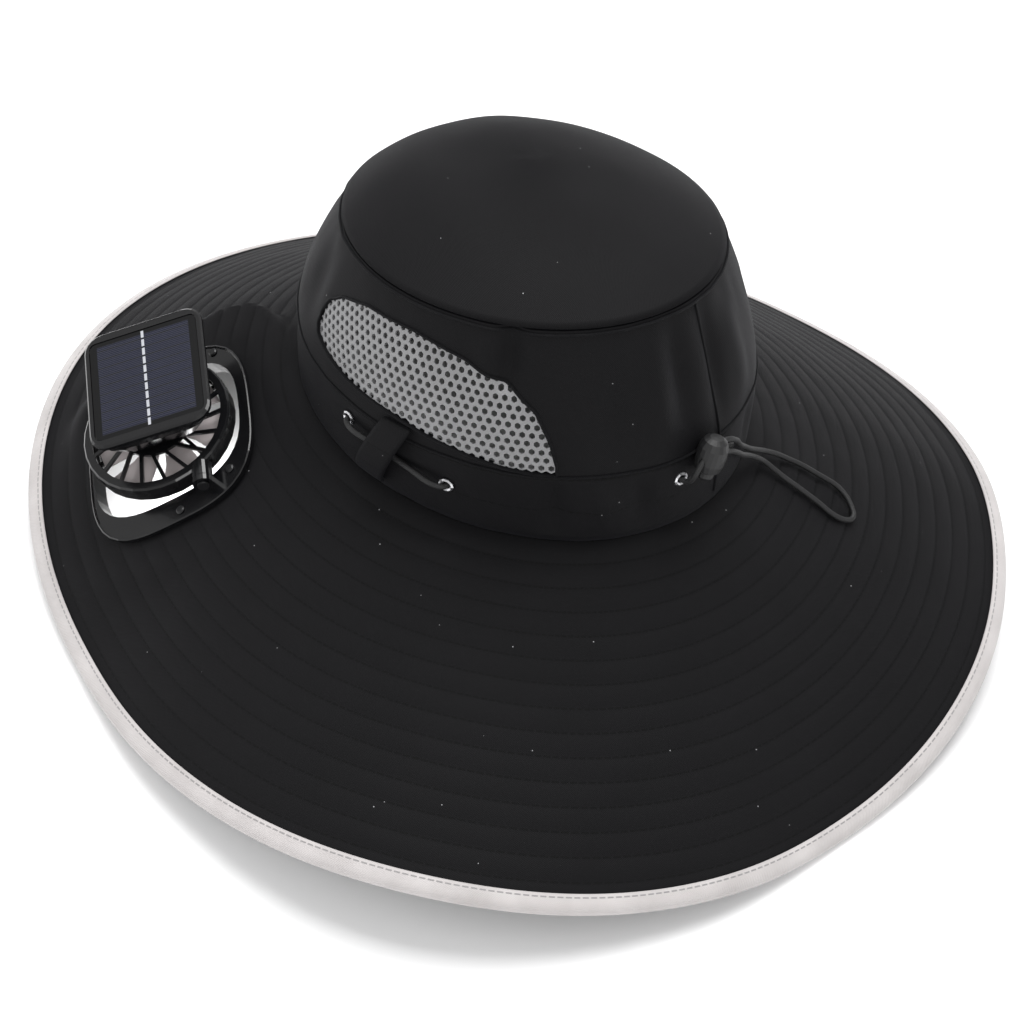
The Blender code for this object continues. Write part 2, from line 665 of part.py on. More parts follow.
def make_cord_lock():
    """Barrel toggle with a sprung button in its lower end."""
    half = 0.5 * LOCK_LENGTH
    profile = ((0.0, half), (0.45 * LOCK_RADIUS, 0.96 * half), (0.78 * LOCK_RADIUS, 0.78 * half),
               (0.96 * LOCK_RADIUS, 0.42 * half), (LOCK_RADIUS, 0.0), (0.97 * LOCK_RADIUS, -0.45 * half),
               (0.86 * LOCK_RADIUS, -0.85 * half), (BUTTON_RADIUS + RUNNING_GAP, -0.98 * half),
               (BUTTON_RADIUS + RUNNING_GAP, -0.45 * half), (0.0, -0.45 * half))
    body = add_piece("cord_lock", turned(profile, 20), black_plastic(), matrix=lock_frame())
    bore = CORD_RADIUS + GAP
    drills = bmesh.new()
    for route in (LOOP_ROUTE, LOOP_ROUTE[::-1], LEFT_ROUTE[::-1], RIGHT_ROUTE[::-1]):
        end, before = Vector(route[0]), Vector(route[1])
        turn = (before - end).to_track_quat("Z", "Y").to_matrix().to_4x4()
        join_into(drills, cylinder(bore, -2 * GAP, 2 * LOCK_RADIUS, 10), Matrix.Translation(end) @ turn)
    boolean(body, cutter("cord_sockets", drills))
    top = -0.45 * half - BUTTON_TRAVEL - GAP
    foot = -half - BUTTON_PROUD
    button = ((0.0, top), (BUTTON_RADIUS, top), (BUTTON_RADIUS, foot + 0.2 * BUTTON_RADIUS),
              (0.85 * BUTTON_RADIUS, foot), (0.0, foot))
    add_piece("lock_button", turned(button, 16), black_plastic(), matrix=lock_frame())


def flange_loop(turn):
    """Section of the fan's base at one turn round it: plate, raised lip and collar."""
    top = 2 * GAP + FLANGE_THICK
    edge = superellipse(FLANGE_HALF, FLANGE_HALF, FLANGE_SQUARENESS, turn)
    hole = superellipse(HOLE_HALF_U, HOLE_HALF_V, HOLE_SQUARENESS, turn) + HOLE_CENTRE
    wall = superellipse(HOLE_HALF_U + COLLAR_WALL, HOLE_HALF_V + COLLAR_WALL, HOLE_SQUARENESS, turn) + HOLE_CENTRE
    lip = edge * (1 - 0.7 * FLANGE_LIP / FLANGE_HALF)
    foot = edge * (1 - 1.5 * FLANGE_LIP / FLANGE_HALF)
    floor = 2 * GAP
    return [edge.to_3d() + Z_AXIS * floor, edge.to_3d() + Z_AXIS * (top + 0.6 * FLANGE_LIP),
            lip.to_3d() + Z_AXIS * (top + FLANGE_LIP), foot.to_3d() + Z_AXIS * top,
            hole.to_3d() + Z_AXIS * top, hole.to_3d() - Z_AXIS * COLLAR_DEPTH,
            wall.to_3d() - Z_AXIS * COLLAR_DEPTH, wall.to_3d() + Z_AXIS * floor]


def hinge_cylinder(radius, start, end, sides):
    """Cylinder on the hinge's axis between two places along V."""
    bm = cylinder(radius, start, end, sides)
    turn = Matrix.Rotation(-math.pi / 2, 4, "X")
    bmesh.ops.transform(bm, matrix=Matrix.Translation(HINGE_AT) @ turn, verts=bm.verts)
    return bm


def make_fan_flange(frame):
    """Moulded base with a collar through the brim and an ear for the hinge."""
    loops = [flange_loop(t) for t in columns(FLANGE_COLUMNS)]
    flange = add_piece("fan_flange", ring_solid(loops), black_plastic(), matrix=frame)
    outline = [(HINGE_RADIUS * math.cos(math.pi * k / 10), HINGE_RADIUS * math.sin(math.pi * k / 10))
               for k in range(11)]
    depth = HINGE_AT.z - 2 * GAP - 0.5 * FLANGE_THICK
    outline += [(-HINGE_RADIUS, -depth), (HINGE_RADIUS, -depth)]
    bm = prism([(x, -y) for x, y in outline], EAR_FACE, EAR_FACE + EAR_THICK)
    turn = Matrix.Rotation(-math.pi / 2, 4, "X")
    ear = cutter("hinge_ear", bm, frame @ Matrix.Translation(HINGE_AT) @ turn)
    boolean(flange, ear, "UNION")
    bore = hinge_cylinder(PIN_RADIUS + RUNNING_GAP, EAR_FACE - EAR_THICK, EAR_FACE + 2 * EAR_THICK, 16)
    boolean(flange, cutter("ear_bore", bore, frame))


def make_fan_backing(frame):
    """Plain ring under the brim that the base is screwed to."""
    top = -BRIM_CLOTH - GAP
    loops = []
    for turn in columns(FLANGE_COLUMNS):
        edge = superellipse(FLANGE_HALF, FLANGE_HALF, FLANGE_SQUARENESS, turn).to_3d()
        grow = COLLAR_WALL + GAP
        hole = superellipse(HOLE_HALF_U + grow, HOLE_HALF_V + grow, HOLE_SQUARENESS, turn) + HOLE_CENTRE
        hole = hole.to_3d()
        edge = edge - edge.normalized() * COLLAR_WALL
        loops.append([edge + Z_AXIS * top, hole + Z_AXIS * top, hole + Z_AXIS * (top - BACKING_THICK),
                      edge + Z_AXIS * (top - BACKING_THICK)])
    add_piece("fan_backing", ring_solid(loops), black_plastic(), matrix=frame)


def make_flange_screws(frame):
    """Heads of the four screws in the base."""
    top = 3 * GAP + FLANGE_THICK
    places = ((-0.0030, 0.0388), (-0.0305, 0.0300), (-0.0283, -0.0367), (0.0130, -0.0400))
    for number, (u, v) in enumerate(places, 1):
        profile = ((0.0, SCREW_THICK), (0.7 * SCREW_RADIUS, SCREW_THICK), (SCREW_RADIUS, 0.4 * SCREW_THICK),
                   (SCREW_RADIUS, 0.0), (0.0, 0.0))
        place = frame @ Matrix.Translation((u, v, top))
        add_piece(f"flange_screw_{number}", turned(profile, 12), steel(), matrix=place)


def make_hinge_pin(frame):
    """Pin through the ear and the knuckle."""
    bm = hinge_cylinder(PIN_RADIUS, EAR_FACE - 0.0045, EAR_FACE + EAR_THICK + GAP, 12)
    pin = add_piece("hinge_pin", bm, steel(), matrix=frame)
    head = hinge_cylinder(1.9 * PIN_RADIUS, EAR_FACE + EAR_THICK + GAP, EAR_FACE + EAR_THICK + 0.0012, 16)
    boolean(pin, cutter("pin_head", head, frame), "UNION")


def head_frame(frame):
    """Frame of the fan head: its origin at the middle of the drum's upper face."""
    return frame @ Matrix.Translation(DRUM_CENTRE) @ Matrix.Rotation(-HEAD_OPEN, 4, "Y")


def bar(inner, outer, width, sweep, low, high):
    """One swept grille bar along the X axis."""
    left, right = [], []
    for radius, turn in ((inner, 0.0), (outer, sweep)):
        place = Vector((math.cos(turn), math.sin(turn))) * radius
        across = Vector((-math.sin(turn), math.cos(turn))) * width / 2
        left.append(place + across)
        right.append(place - across)
    return prism(right + left[::-1], low, high)


def make_fan_cage(frame):
    """Drum with an upper and a lower grille, the motor can, the shaft and the hinge's knuckle."""
    head = head_frame(frame)
    bevel = 0.0008
    deep = -DRUM_DEPTH
    inner = DRUM_RADIUS - DRUM_WALL
    rim = ((DRUM_MOUTH, 0.0), (DRUM_RADIUS - bevel, 0.0), (DRUM_RADIUS, -bevel), (DRUM_RADIUS, deep + bevel),
           (DRUM_RADIUS - bevel, deep), (DRUM_MOUTH, deep), (DRUM_MOUTH, deep + GRILLE_THICK),
           (inner, deep + 1.6 * GRILLE_THICK), (inner, -1.6 * GRILLE_THICK), (DRUM_MOUTH, -GRILLE_THICK))
    cage = add_piece("fan_cage", turned(rim, 32), black_plastic(), matrix=head)
    grille = bmesh.new()
    past = 0.0009
    for k in range(TOP_BARS):
        turn = Matrix.Rotation(2 * math.pi * k / TOP_BARS, 4, "Z")
        join_into(grille, bar(TOP_HUB_RADIUS - past, DRUM_MOUTH + past, TOP_BAR_WIDTH, BAR_SWEEP,
                              -GRILLE_THICK * 0.95, -GRILLE_THICK * 0.05), turn)
    for k in range(BOTTOM_BARS):
        turn = Matrix.Rotation(2 * math.pi * k / BOTTOM_BARS, 4, "Z")
        join_into(grille, bar(BOTTOM_HUB_RADIUS - past, DRUM_MOUTH + past, TOP_BAR_WIDTH, -2 * BAR_SWEEP,
                              deep + GRILLE_THICK * 0.05, deep + GRILLE_THICK * 0.95), turn)
    boolean(cage, cutter("grille_bars", grille, head), "UNION")
    hub_low = -GRILLE_THICK - MOTOR_DEPTH
    hub = ((0.0, 0.0), (TOP_HUB_RADIUS, 0.0), (TOP_HUB_RADIUS, -GRILLE_THICK), (MOTOR_RADIUS, -GRILLE_THICK),
           (MOTOR_RADIUS, hub_low), (SHAFT_RADIUS, hub_low), (SHAFT_RADIUS, hub_low - 0.0022), (0.0, hub_low - 0.0022))
    boolean(cage, cutter("motor_hub", turned(hub, 18), head), "UNION")
    lower = ((0.0, deep + GRILLE_THICK), (BOTTOM_HUB_RADIUS, deep + GRILLE_THICK), (BOTTOM_HUB_RADIUS, deep),
             (0.0, deep))
    boolean(cage, cutter("lower_hub", turned(lower, 18), head), "UNION")
    knuckle = hinge_cylinder(HINGE_RADIUS, 0.0256, EAR_FACE - RUNNING_GAP, 20)
    boolean(cage, cutter("knuckle", knuckle, frame), "UNION")
    bore = hinge_cylinder(PIN_RADIUS + RUNNING_GAP, EAR_FACE - 0.0050, EAR_FACE + EAR_THICK, 16)
    boolean(cage, cutter("knuckle_bore", bore, frame))


def make_impeller(frame):
    """Hub and pitched blades on the motor's shaft."""
    head = head_frame(frame)
    low = -DRUM_DEPTH + GRILLE_THICK + 0.0006
    high = -GRILLE_THICK - MOTOR_DEPTH - 2 * RUNNING_GAP
    bore = SHAFT_RADIUS + RUNNING_GAP
    hub = ((bore, high), (HUB_RADIUS, high), (HUB_RADIUS, low + 0.0004), (bore, low + 0.0004))
    impeller = add_piece("impeller", turned(hub, 20), pale_plastic(), matrix=head)
    blades = bmesh.new()
    for k in range(BLADES):
        start = 2 * math.pi * k / BLADES
        outer, inner = [], []
        for f in (0.0, 0.5, 1.0):
            turn = start + BLADE_ARC * f
            row_out, row_in = [], []
            for radius in (HUB_RADIUS - 0.0012, 0.5 * (HUB_RADIUS + BLADE_RADIUS), BLADE_RADIUS):
                spread = turn - 0.25 * (radius / BLADE_RADIUS)
                base = low + 0.0005 + (high - low - BLADE_THICK - 0.0010) * f
                row_out.append((radius * math.cos(spread), radius * math.sin(spread), base + BLADE_THICK))
                row_in.append((radius * math.cos(spread), radius * math.sin(spread), base))
            outer.append(row_out)
            inner.append(row_in)
        join_into(blades, patch_solid(outer, inner))
    bmesh.ops.recalc_face_normals(blades, faces=blades.faces)
    boolean(impeller, cutter("blades", blades, head), "UNION")


def rounded_rectangle(half_u, half_v, corner, arc=5):
    points = []
    for quarter, (sx, sy) in enumerate(((1, 1), (-1, 1), (-1, -1), (1, -1))):
        for k in range(arc + 1):
            turn = math.pi / 2 * (quarter + k / arc)
            points.append(Vector((sx * (half_u - corner) + corner * math.cos(turn),
                                  sy * (half_v - corner) + corner * math.sin(turn))))
    return points


def stack(outlines):
    """Closed solid through equal outlines given as (points, height), bottom first."""
    bm = bmesh.new()
    rings = [[bm.verts.new((p[0], p[1], height)) for p in points] for points, height in outlines]
    for here, there in zip(rings, rings[1:]):
        for i in range(len(here)):
            j = (i + 1) % len(here)
            bm.faces.new((here[i], here[j], there[j], there[i]))
    bm.faces.new(rings[0][::-1])
    bm.faces.new(rings[-1])
    return bm


def make_solar_panel(frame):
    """Panel frame with a recess, and the cell plate in it."""
    head = head_frame(frame) @ Matrix.Translation(PANEL_CENTRE.to_3d())
    half_u, half_v = PANEL_U / 2, PANEL_V / 2
    bottom = PANEL_TOP - PANEL_THICK
    shrink = 0.0008
    slab = stack([(rounded_rectangle(half_u - shrink, half_v - shrink, PANEL_CORNER), bottom),
                  (rounded_rectangle(half_u, half_v, PANEL_CORNER), bottom + shrink),
                  (rounded_rectangle(half_u, half_v, PANEL_CORNER), PANEL_TOP - shrink),
                  (rounded_rectangle(half_u - shrink, half_v - shrink, PANEL_CORNER), PANEL_TOP)])
    panel = add_piece("panel_frame", slab, black_plastic(), matrix=head)
    cell_u, cell_v = half_u - CELL_MARGIN_U, half_v - CELL_MARGIN_V
    floor = PANEL_TOP - CELL_THICK - 2 * GAP
    corner = 0.0030
    pocket = prism(rounded_rectangle(cell_u + GAP, cell_v + GAP, corner, 3), floor, PANEL_TOP + CELL_THICK)
    boolean(panel, cutter("cell_pocket", pocket, head))
    cells = prism(rounded_rectangle(cell_u, cell_v, corner, 3), floor + GAP, floor + GAP + CELL_THICK)
    add_piece("solar_cells", cells, blue_cells(), matrix=head)


def make_fan_pod(frame):
    """Tapered housing that carries the panel on the drum."""
    head = head_frame(frame)
    top = PANEL_TOP - PANEL_THICK - GAP
    centre = PANEL_CENTRE

    def level(share_u, share_v, towards_drum, height):
        half_u, half_v = 0.5 * PANEL_U * share_u, 0.5 * PANEL_V * share_v
        middle = centre * (1 - towards_drum)
        corner = 0.2 * PANEL_U * min(share_u, share_v)
        return [p + middle for p in rounded_rectangle(half_u, half_v, corner, 3)], height

    bm = stack([level(0.50, 0.46, 0.60, GAP), level(0.60, 0.62, 0.40, 0.12 * top), level(0.72, 0.80, 0.15, 0.30 * top),
                level(0.94, 0.96, 0.0, 0.80 * top), level(0.95, 0.97, 0.0, top)])
    add_piece("fan_pod", bm, black_plastic(), matrix=head)


def stand_on_floor():
    """Hang every piece from one empty, with the middle of the footprint at the origin."""
    root = bpy.data.objects.new("hat", None)
    bpy.context.collection.objects.link(root)
    bpy.context.view_layer.update()
    corners = []
    for obj in PIECES:
        if obj.type == "MESH" and obj.name not in ("cord_lock", "lock_button"):
            corners += [obj.matrix_world @ v.co for v in obj.data.vertices]
    low = Vector([min(c[i] for c in corners) for i in range(3)])
    high = Vector([max(c[i] for c in corners) for i in range(3)])
    for obj in list(bpy.data.objects):
        if obj is not root:
            obj.parent = root
    root.location = (-(low.x + high.x) / 2, -(low.y + high.y) / 2, -low.z)
    bpy.context.view_layer.update()


def main():
    clear_scene()
    frame = fan_frame()
    make_brim(frame)
    make_edge_binding(frame)
    make_crown_band()
    make_crown_side()
    make_mesh_windows()
    make_crown_tip()
    make_eyelets()
    make_side_loops()
    make_side_cords()
    make_cord("drawcord_loop", LOOP_ROUTE, 4 * CORD_RADIUS)
    make_cord("drawcord_left", LEFT_ROUTE)
    make_cord("drawcord_right", RIGHT_ROUTE)
    make_cord_lock()
    make_fan_flange(frame)
    make_fan_backing(frame)
    make_flange_screws(frame)
    make_hinge_pin(frame)
    make_fan_cage(frame)
    make_impeller(frame)
    make_fan_pod(frame)
    make_solar_panel(frame)
    stand_on_floor()


main()
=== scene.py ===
"""Studio scene of a wide-brimmed sun hat with a solar fan let into its brim."""
from __future__ import annotations

import json
import logging
import math
from dataclasses import dataclass
from enum import Enum

import bmesh
import bpy
from mathutils import Matrix, Quaternion, Vector, noise

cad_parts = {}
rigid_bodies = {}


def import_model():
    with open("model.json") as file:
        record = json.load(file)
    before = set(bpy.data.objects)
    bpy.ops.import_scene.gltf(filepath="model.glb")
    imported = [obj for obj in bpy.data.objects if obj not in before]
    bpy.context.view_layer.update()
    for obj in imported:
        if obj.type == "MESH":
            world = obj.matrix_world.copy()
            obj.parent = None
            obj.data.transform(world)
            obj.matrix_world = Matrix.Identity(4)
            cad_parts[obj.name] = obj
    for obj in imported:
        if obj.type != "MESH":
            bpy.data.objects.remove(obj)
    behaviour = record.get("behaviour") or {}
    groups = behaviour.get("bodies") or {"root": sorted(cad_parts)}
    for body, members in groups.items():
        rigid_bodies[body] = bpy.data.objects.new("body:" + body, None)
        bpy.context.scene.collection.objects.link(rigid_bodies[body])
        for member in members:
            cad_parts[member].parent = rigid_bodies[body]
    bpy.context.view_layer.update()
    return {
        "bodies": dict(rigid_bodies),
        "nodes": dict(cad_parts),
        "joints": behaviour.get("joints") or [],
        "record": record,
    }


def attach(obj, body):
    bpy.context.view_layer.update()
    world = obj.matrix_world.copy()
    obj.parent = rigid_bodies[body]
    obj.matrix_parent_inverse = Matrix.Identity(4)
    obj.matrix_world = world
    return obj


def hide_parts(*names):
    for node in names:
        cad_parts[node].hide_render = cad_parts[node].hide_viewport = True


LOG = logging.getLogger("sun_hat")
UP = Vector((0.0, 0.0, 1.0))
SEAM_CENTRE = Vector((-0.000298, 0.003756, 0.097919))
BAND_RADIUS = 0.093


class Side(Enum):
    """A side of the wearer's head."""

    LEFT = "left"
    RIGHT = "right"


@dataclass(frozen=True)
class Fold:
    """One fold of the crown's cloth: degrees, heights as shares, half-width, share of the bulge."""

    angle: float
    low: float
    high: float
    width: float
    depth: float


@dataclass(frozen=True)
class Edge:
    """Lower and upper edge of a window at one angle, as shares of the wall."""

    angle: float
    low: float
    high: float


FOLDS = (
    Fold(32, 0.72, 1.05, 3.5, -0.55), Fold(27, 0.70, 1.02, 4.0, 0.25), Fold(58, 0.40, 0.85, 6.0, -0.30),
    Fold(72, 0.38, 0.95, 4.0, 0.30), Fold(80, 0.42, 1.00, 3.5, -0.45), Fold(93, 0.40, 1.02, 3.0, -0.40),
    Fold(104, 0.38, 0.90, 5.0, 0.25), Fold(135, 0.40, 0.80, 6.0, -0.25), Fold(211, 0.42, 0.90, 6.0, -0.30),
    Fold(250, 0.40, 0.85, 7.0, 0.25), Fold(285, 0.40, 0.80, 6.0, -0.30), Fold(322, 0.45, 0.95, 6.0, -0.35),
    Fold(44, 0.02, 0.36, 3.0, -0.35), Fold(56, 0.04, 0.36, 3.5, 0.25), Fold(66, 0.02, 0.36, 3.0, -0.35),
    Fold(110, 0.04, 0.36, 4.0, -0.30), Fold(128, 0.02, 0.36, 4.0, 0.20), Fold(232, 0.02, 0.36, 5.0, -0.25),
    Fold(304, 0.02, 0.36, 5.0, -0.25))
WINDOW = (
    Edge(-28.5, 0.590, 0.640), Edge(-27.0, 0.545, 0.720), Edge(-22.0, 0.515, 0.790),
    Edge(-12.0, 0.485, 0.850), Edge(5.0, 0.470, 0.868), Edge(20.0, 0.430, 0.832),
    Edge(32.0, 0.400, 0.760), Edge(39.0, 0.392, 0.660), Edge(42.5, 0.390, 0.530),
    Edge(44.0, 0.390, 0.420))
DROOP = ((0, 1.024), (30, 0.802), (60, 1.012), (82, 1.153), (120, 0.901), (140, 0.823), (180, 1.015),
         (210, 1.078), (240, 1.054), (285, 0.943), (335, 1.159))


def smoothstep(value: float) -> float:
    """Ease from 0 to 1."""
    value = min(1.0, max(0.0, value))
    return value * value * (3 - 2 * value)


def periodic(rows: tuple[tuple[float, float], ...], angle: float) -> float:
    """Smooth closed curve through (degrees, value) rows.

    Args:
        rows: The table, by rising angle.
        angle: Where to read it, in degrees.

    Returns:
        The value there.
    """
    count = len(rows)
    angle %= 360.0
    last = max(i for i in range(count) if rows[i][0] <= angle)
    keys = []
    for step in (-1, 0, 1, 2):
        turn, place = divmod(last + step, count)
        keys.append((rows[place][0] + 360.0 * turn, rows[place][1]))
    (a0, s0), (a1, s1), (a2, s2), (a3, s3) = keys
    span = a2 - a1
    f = (angle - a1) / span
    m1 = (s2 - s0) / (a2 - a0) * span
    m2 = (s3 - s1) / (a3 - a1) * span
    return ((2 * f**3 - 3 * f**2 + 1) * s1 + (f**3 - 2 * f**2 + f) * m1
            + (3 * f**2 - 2 * f**3) * s2 + (f**3 - f**2) * m2)


@dataclass(frozen=True)
class HatForm:
    """Sizes of the hat's cloth surfaces and the points on them."""

    head_x: float = 0.0920
    head_y: float = 0.1049
    slope_left: float = 0.003
    slope_back: float = -0.016
    tip_x: float = 0.0780
    tip_y: float = 0.0818
    tip_height: float = 0.0876
    tip_forward: float = 0.0028
    tip_left: float = 0.060
    tip_back: float = 0.072
    bulge: float = 0.0075
    dome: float = 0.030
    dome_forward: float = 0.012
    brim: float = 0.1508
    droop: float = math.radians(33.3)
    flange_half: float = 0.0443
    squareness: float = 3.2

    def oval(self, angle: float) -> Vector:
        """Point of the seam between crown and brim."""
        x = self.head_x * math.cos(angle)
        y = self.head_y * math.sin(angle)
        return SEAM_CENTRE + Vector((x, y, self.slope_left * x + self.slope_back * y))

    def outward(self, angle: float) -> Vector:
        """Level direction away from the head."""
        return Vector((math.cos(angle) / self.head_x, math.sin(angle) / self.head_y, 0)).normalized()

    def tip_oval(self, angle: float) -> Vector:
        """Point of the seam round the crown's tip."""
        x = self.tip_x * math.cos(angle)
        y = self.tip_y * math.sin(angle) - self.tip_forward
        return SEAM_CENTRE + Vector((x, y, self.tip_height + self.tip_left * x + self.tip_back * y))

    def folded(self, angle: float, share: float) -> float:
        """How far the folds push the wall out."""
        degrees = math.degrees(angle) % 360.0
        total = 0.0
        for fold in FOLDS:
            away = (degrees - fold.angle + 180.0) % 360.0 - 180.0
            along = (share - fold.low) / (fold.high - fold.low)
            if 0.0 < along < 1.0:
                total += fold.depth * math.exp(-(away / fold.width) ** 2) * math.sin(math.pi * along)
        return total * self.bulge

    def wall(self, angle: float, share: float, out: float = 0.0) -> Vector:
        """Point on the crown's wall.

        Args:
            angle: Round the head from +X, in radians.
            share: Height, from the brim seam (0) to the tip seam (1).
            out: Distance out of the cloth, in metres.

        Returns:
            The point.
        """
        swell = self.bulge * math.sin(math.pi * share) + self.folded(angle, share) + out
        return self.oval(angle).lerp(self.tip_oval(angle), share) + self.outward(angle) * swell

    def top(self, angle: float, share: float, out: float = 0.0) -> Vector:
        """Point on the domed tip, from its middle (0) to its seam (1)."""
        height = self.tip_height - self.tip_back * self.tip_forward
        centre = SEAM_CENTRE + Vector((0, -self.tip_forward, height))
        normal = Vector((-self.tip_left, -self.tip_back, 1)).normalized()
        rise = self.dome * (1.0 - share**1.8) + out
        shift = Vector((0, -self.dome_forward, 0)) * (1.0 - share) * share * 2
        return centre.lerp(self.tip_oval(angle), share) + normal * rise + shift

    def droop_at(self, angle: float) -> float:
        """The brim's droop at one angle, in radians."""
        return self.droop * periodic(DROOP, math.degrees(angle))

    def bare_brim(self, angle: float, share: float) -> Vector:
        """Point on the brim before the fan's base flattens it."""
        droop = self.droop_at(angle)
        reach = self.brim * share
        return self.oval(angle) + self.outward(angle) * reach * math.cos(droop) - UP * reach * math.sin(droop)

    def fan_frame(self) -> Matrix:
        """Frame of the fan's base: U away from the crown, V to the back, N off the cloth."""
        place = self.bare_brim(math.radians(315.6), 0.468)
        turn = (Matrix.Rotation(math.radians(-26.2), 4, "Z") @ Matrix.Rotation(math.radians(37.1), 4, "Y")
                @ Matrix.Rotation(math.radians(-16.5), 4, "Z"))
        return Matrix.Translation(place) @ turn

    def from_base(self, point: Vector, frame: Matrix) -> float:
        """Distance outside the edge of the fan's base, in metres."""
        local = frame.inverted() @ point
        size = (abs(local.x) ** self.squareness + abs(local.y) ** self.squareness) ** (1 / self.squareness)
        return size - self.flange_half

    def flatness(self, point: Vector, frame: Matrix) -> float:
        """1 under the fan's base, falling to 0 around it."""
        return 1.0 - smoothstep((self.from_base(point, frame) - 0.0145) / 0.010)

    def brim_at(self, angle: float, share: float, frame: Matrix) -> tuple[Vector, float]:
        """Point on the brim's upper face, and how flat the fan's base presses it."""
        point = self.bare_brim(angle, share)
        flat = self.flatness(point, frame)
        if flat > 0.0:
            normal = frame.to_3x3() @ UP
            point.z -= (point - frame.translation).dot(normal) / normal.z * flat
        return point, flat


FORM = HatForm()


class Graph:
    """A material's node tree with short calls for the nodes that the finishes use."""

    def __init__(self, name: str) -> None:
        """Start a material with its shader."""
        self.material = bpy.data.materials.new(name)
        self.material.use_nodes = True
        self.tree = self.material.node_tree
        self.shader = self.tree.nodes["Principled BSDF"]

    def node(self, kind: str) -> bpy.types.Node:
        """Add a node."""
        return self.tree.nodes.new(kind)

    def feed(self, socket: bpy.types.NodeSocket, value: object) -> None:
        """Link a socket to a value or to another socket."""
        if isinstance(value, bpy.types.NodeSocket):
            self.tree.links.new(value, socket)
        elif value is not None:
            socket.default_value = value

    def coords(self, kind: str = "Object") -> bpy.types.NodeSocket:
        """Texture coordinates."""
        return self.node("ShaderNodeTexCoord").outputs[kind]

    def math(self, what: str, a: object, b: object = None) -> bpy.types.NodeSocket:
        """One arithmetic step."""
        node = self.node("ShaderNodeMath")
        node.operation = what
        self.feed(node.inputs[0], a)
        self.feed(node.inputs[1], b)
        return node.outputs[0]

    def split(self, vector: bpy.types.NodeSocket) -> tuple[bpy.types.NodeSocket, ...]:
        """The three parts of a vector."""
        node = self.node("ShaderNodeSeparateXYZ")
        self.feed(node.inputs[0], vector)
        return tuple(node.outputs)

    def along(self, direction: Vector, origin: Vector) -> bpy.types.NodeSocket:
        """Distance along a direction from a point, in metres."""
        node = self.node("ShaderNodeVectorMath")
        node.operation = "DOT_PRODUCT"
        self.feed(node.inputs[0], self.coords())
        node.inputs[1].default_value = direction
        return self.math("SUBTRACT", node.outputs["Value"], direction.dot(origin))

    def noise(self, vector: bpy.types.NodeSocket, scale: float, detail: float = 3.0) -> bpy.types.NodeSocket:
        """Noise from 0 to 1."""
        node = self.node("ShaderNodeTexNoise")
        self.feed(node.inputs["Vector"], vector)
        node.inputs["Scale"].default_value = scale
        node.inputs["Detail"].default_value = detail
        return node.outputs["Fac"]

    def specks(self, vector: bpy.types.NodeSocket, scale: float, size: float) -> bpy.types.NodeSocket:
        """Mask of small scattered dots."""
        node = self.node("ShaderNodeTexVoronoi")
        self.feed(node.inputs["Vector"], vector)
        node.inputs["Scale"].default_value = scale
        return self.math("LESS_THAN", node.outputs["Distance"], size)

    def wave(self, value: bpy.types.NodeSocket, pitch: float) -> bpy.types.NodeSocket:
        """Sine wave of a pitch in metres."""
        return self.math("SINE", self.math("MULTIPLY", value, 2 * math.pi / pitch))

    def line(self, value: bpy.types.NodeSocket, pitch: float, width: float) -> bpy.types.NodeSocket:
        """Mask of lines a pitch apart, centred on whole pitches."""
        cell = self.math("FRACT", self.math("ADD", self.math("DIVIDE", value, pitch), 0.5))
        away = self.math("ABSOLUTE", self.math("SUBTRACT", cell, 0.5))
        return self.math("LESS_THAN", away, width / pitch / 2)

    def mix(self, factor: object, a: object, b: object) -> bpy.types.NodeSocket:
        """Blend of two colours."""
        node = self.node("ShaderNodeMix")
        node.data_type = "RGBA"
        self.feed(node.inputs[0], factor)
        self.feed(node.inputs[6], (*a, 1.0) if isinstance(a, tuple) else a)
        self.feed(node.inputs[7], (*b, 1.0) if isinstance(b, tuple) else b)
        return node.outputs[2]

    def bump(self, height: bpy.types.NodeSocket, distance: float, strength: float = 1.0) -> None:
        """Relief of a depth in metres."""
        node = self.node("ShaderNodeBump")
        node.inputs["Strength"].default_value = strength
        node.inputs["Distance"].default_value = distance
        self.feed(node.inputs["Height"], height)
        self.feed(self.shader.inputs["Normal"], node.outputs[0])


@dataclass(frozen=True)
class Cloth:
    """Woven black cloth, with stitch rows where a row pitch is given."""

    name: str
    dark: tuple[float, float, float] = (0.0022, 0.0021, 0.0026)
    light: tuple[float, float, float] = (0.0042, 0.0040, 0.0048)
    row_pitch: float = 0.0
    stitch: float = 0.0034
    weave: float = 0.0008

    def build(self) -> bpy.types.Material:
        """Make the finish."""
        g = Graph(self.name)
        u, v, _ = g.split(g.coords("UV"))
        mottled = g.mix(g.noise(g.coords(), 26.0, 5.0), self.dark, self.light)
        threads = g.math("MULTIPLY", g.wave(u, self.weave), g.wave(v, self.weave))
        height = g.math("MULTIPLY", threads, 0.16)
        colour = mottled
        if self.row_pitch:
            dash = g.math("LESS_THAN", g.math("FRACT", g.math("DIVIDE", u, self.stitch)), 0.76)
            stitched = g.math("MULTIPLY", g.line(v, self.row_pitch, 0.0008), dash)
            colour = g.mix(stitched, colour, (0.0012, 0.0012, 0.0014))
            height = g.math("ADD", height, stitched)
        lint = g.specks(g.coords(), 95.0, 0.026)
        colour = g.mix(lint, colour, (0.30, 0.30, 0.31))
        g.feed(g.shader.inputs["Base Color"], colour)
        g.shader.inputs["Roughness"].default_value = 0.66
        g.shader.inputs["Specular IOR Level"].default_value = 0.14
        g.shader.inputs["Sheen Weight"].default_value = 0.018
        g.shader.inputs["Sheen Roughness"].default_value = 0.45
        g.shader.inputs["Sheen Tint"].default_value = (0.72, 0.72, 0.86, 1.0)
        g.bump(height, 0.00030)
        return g.material


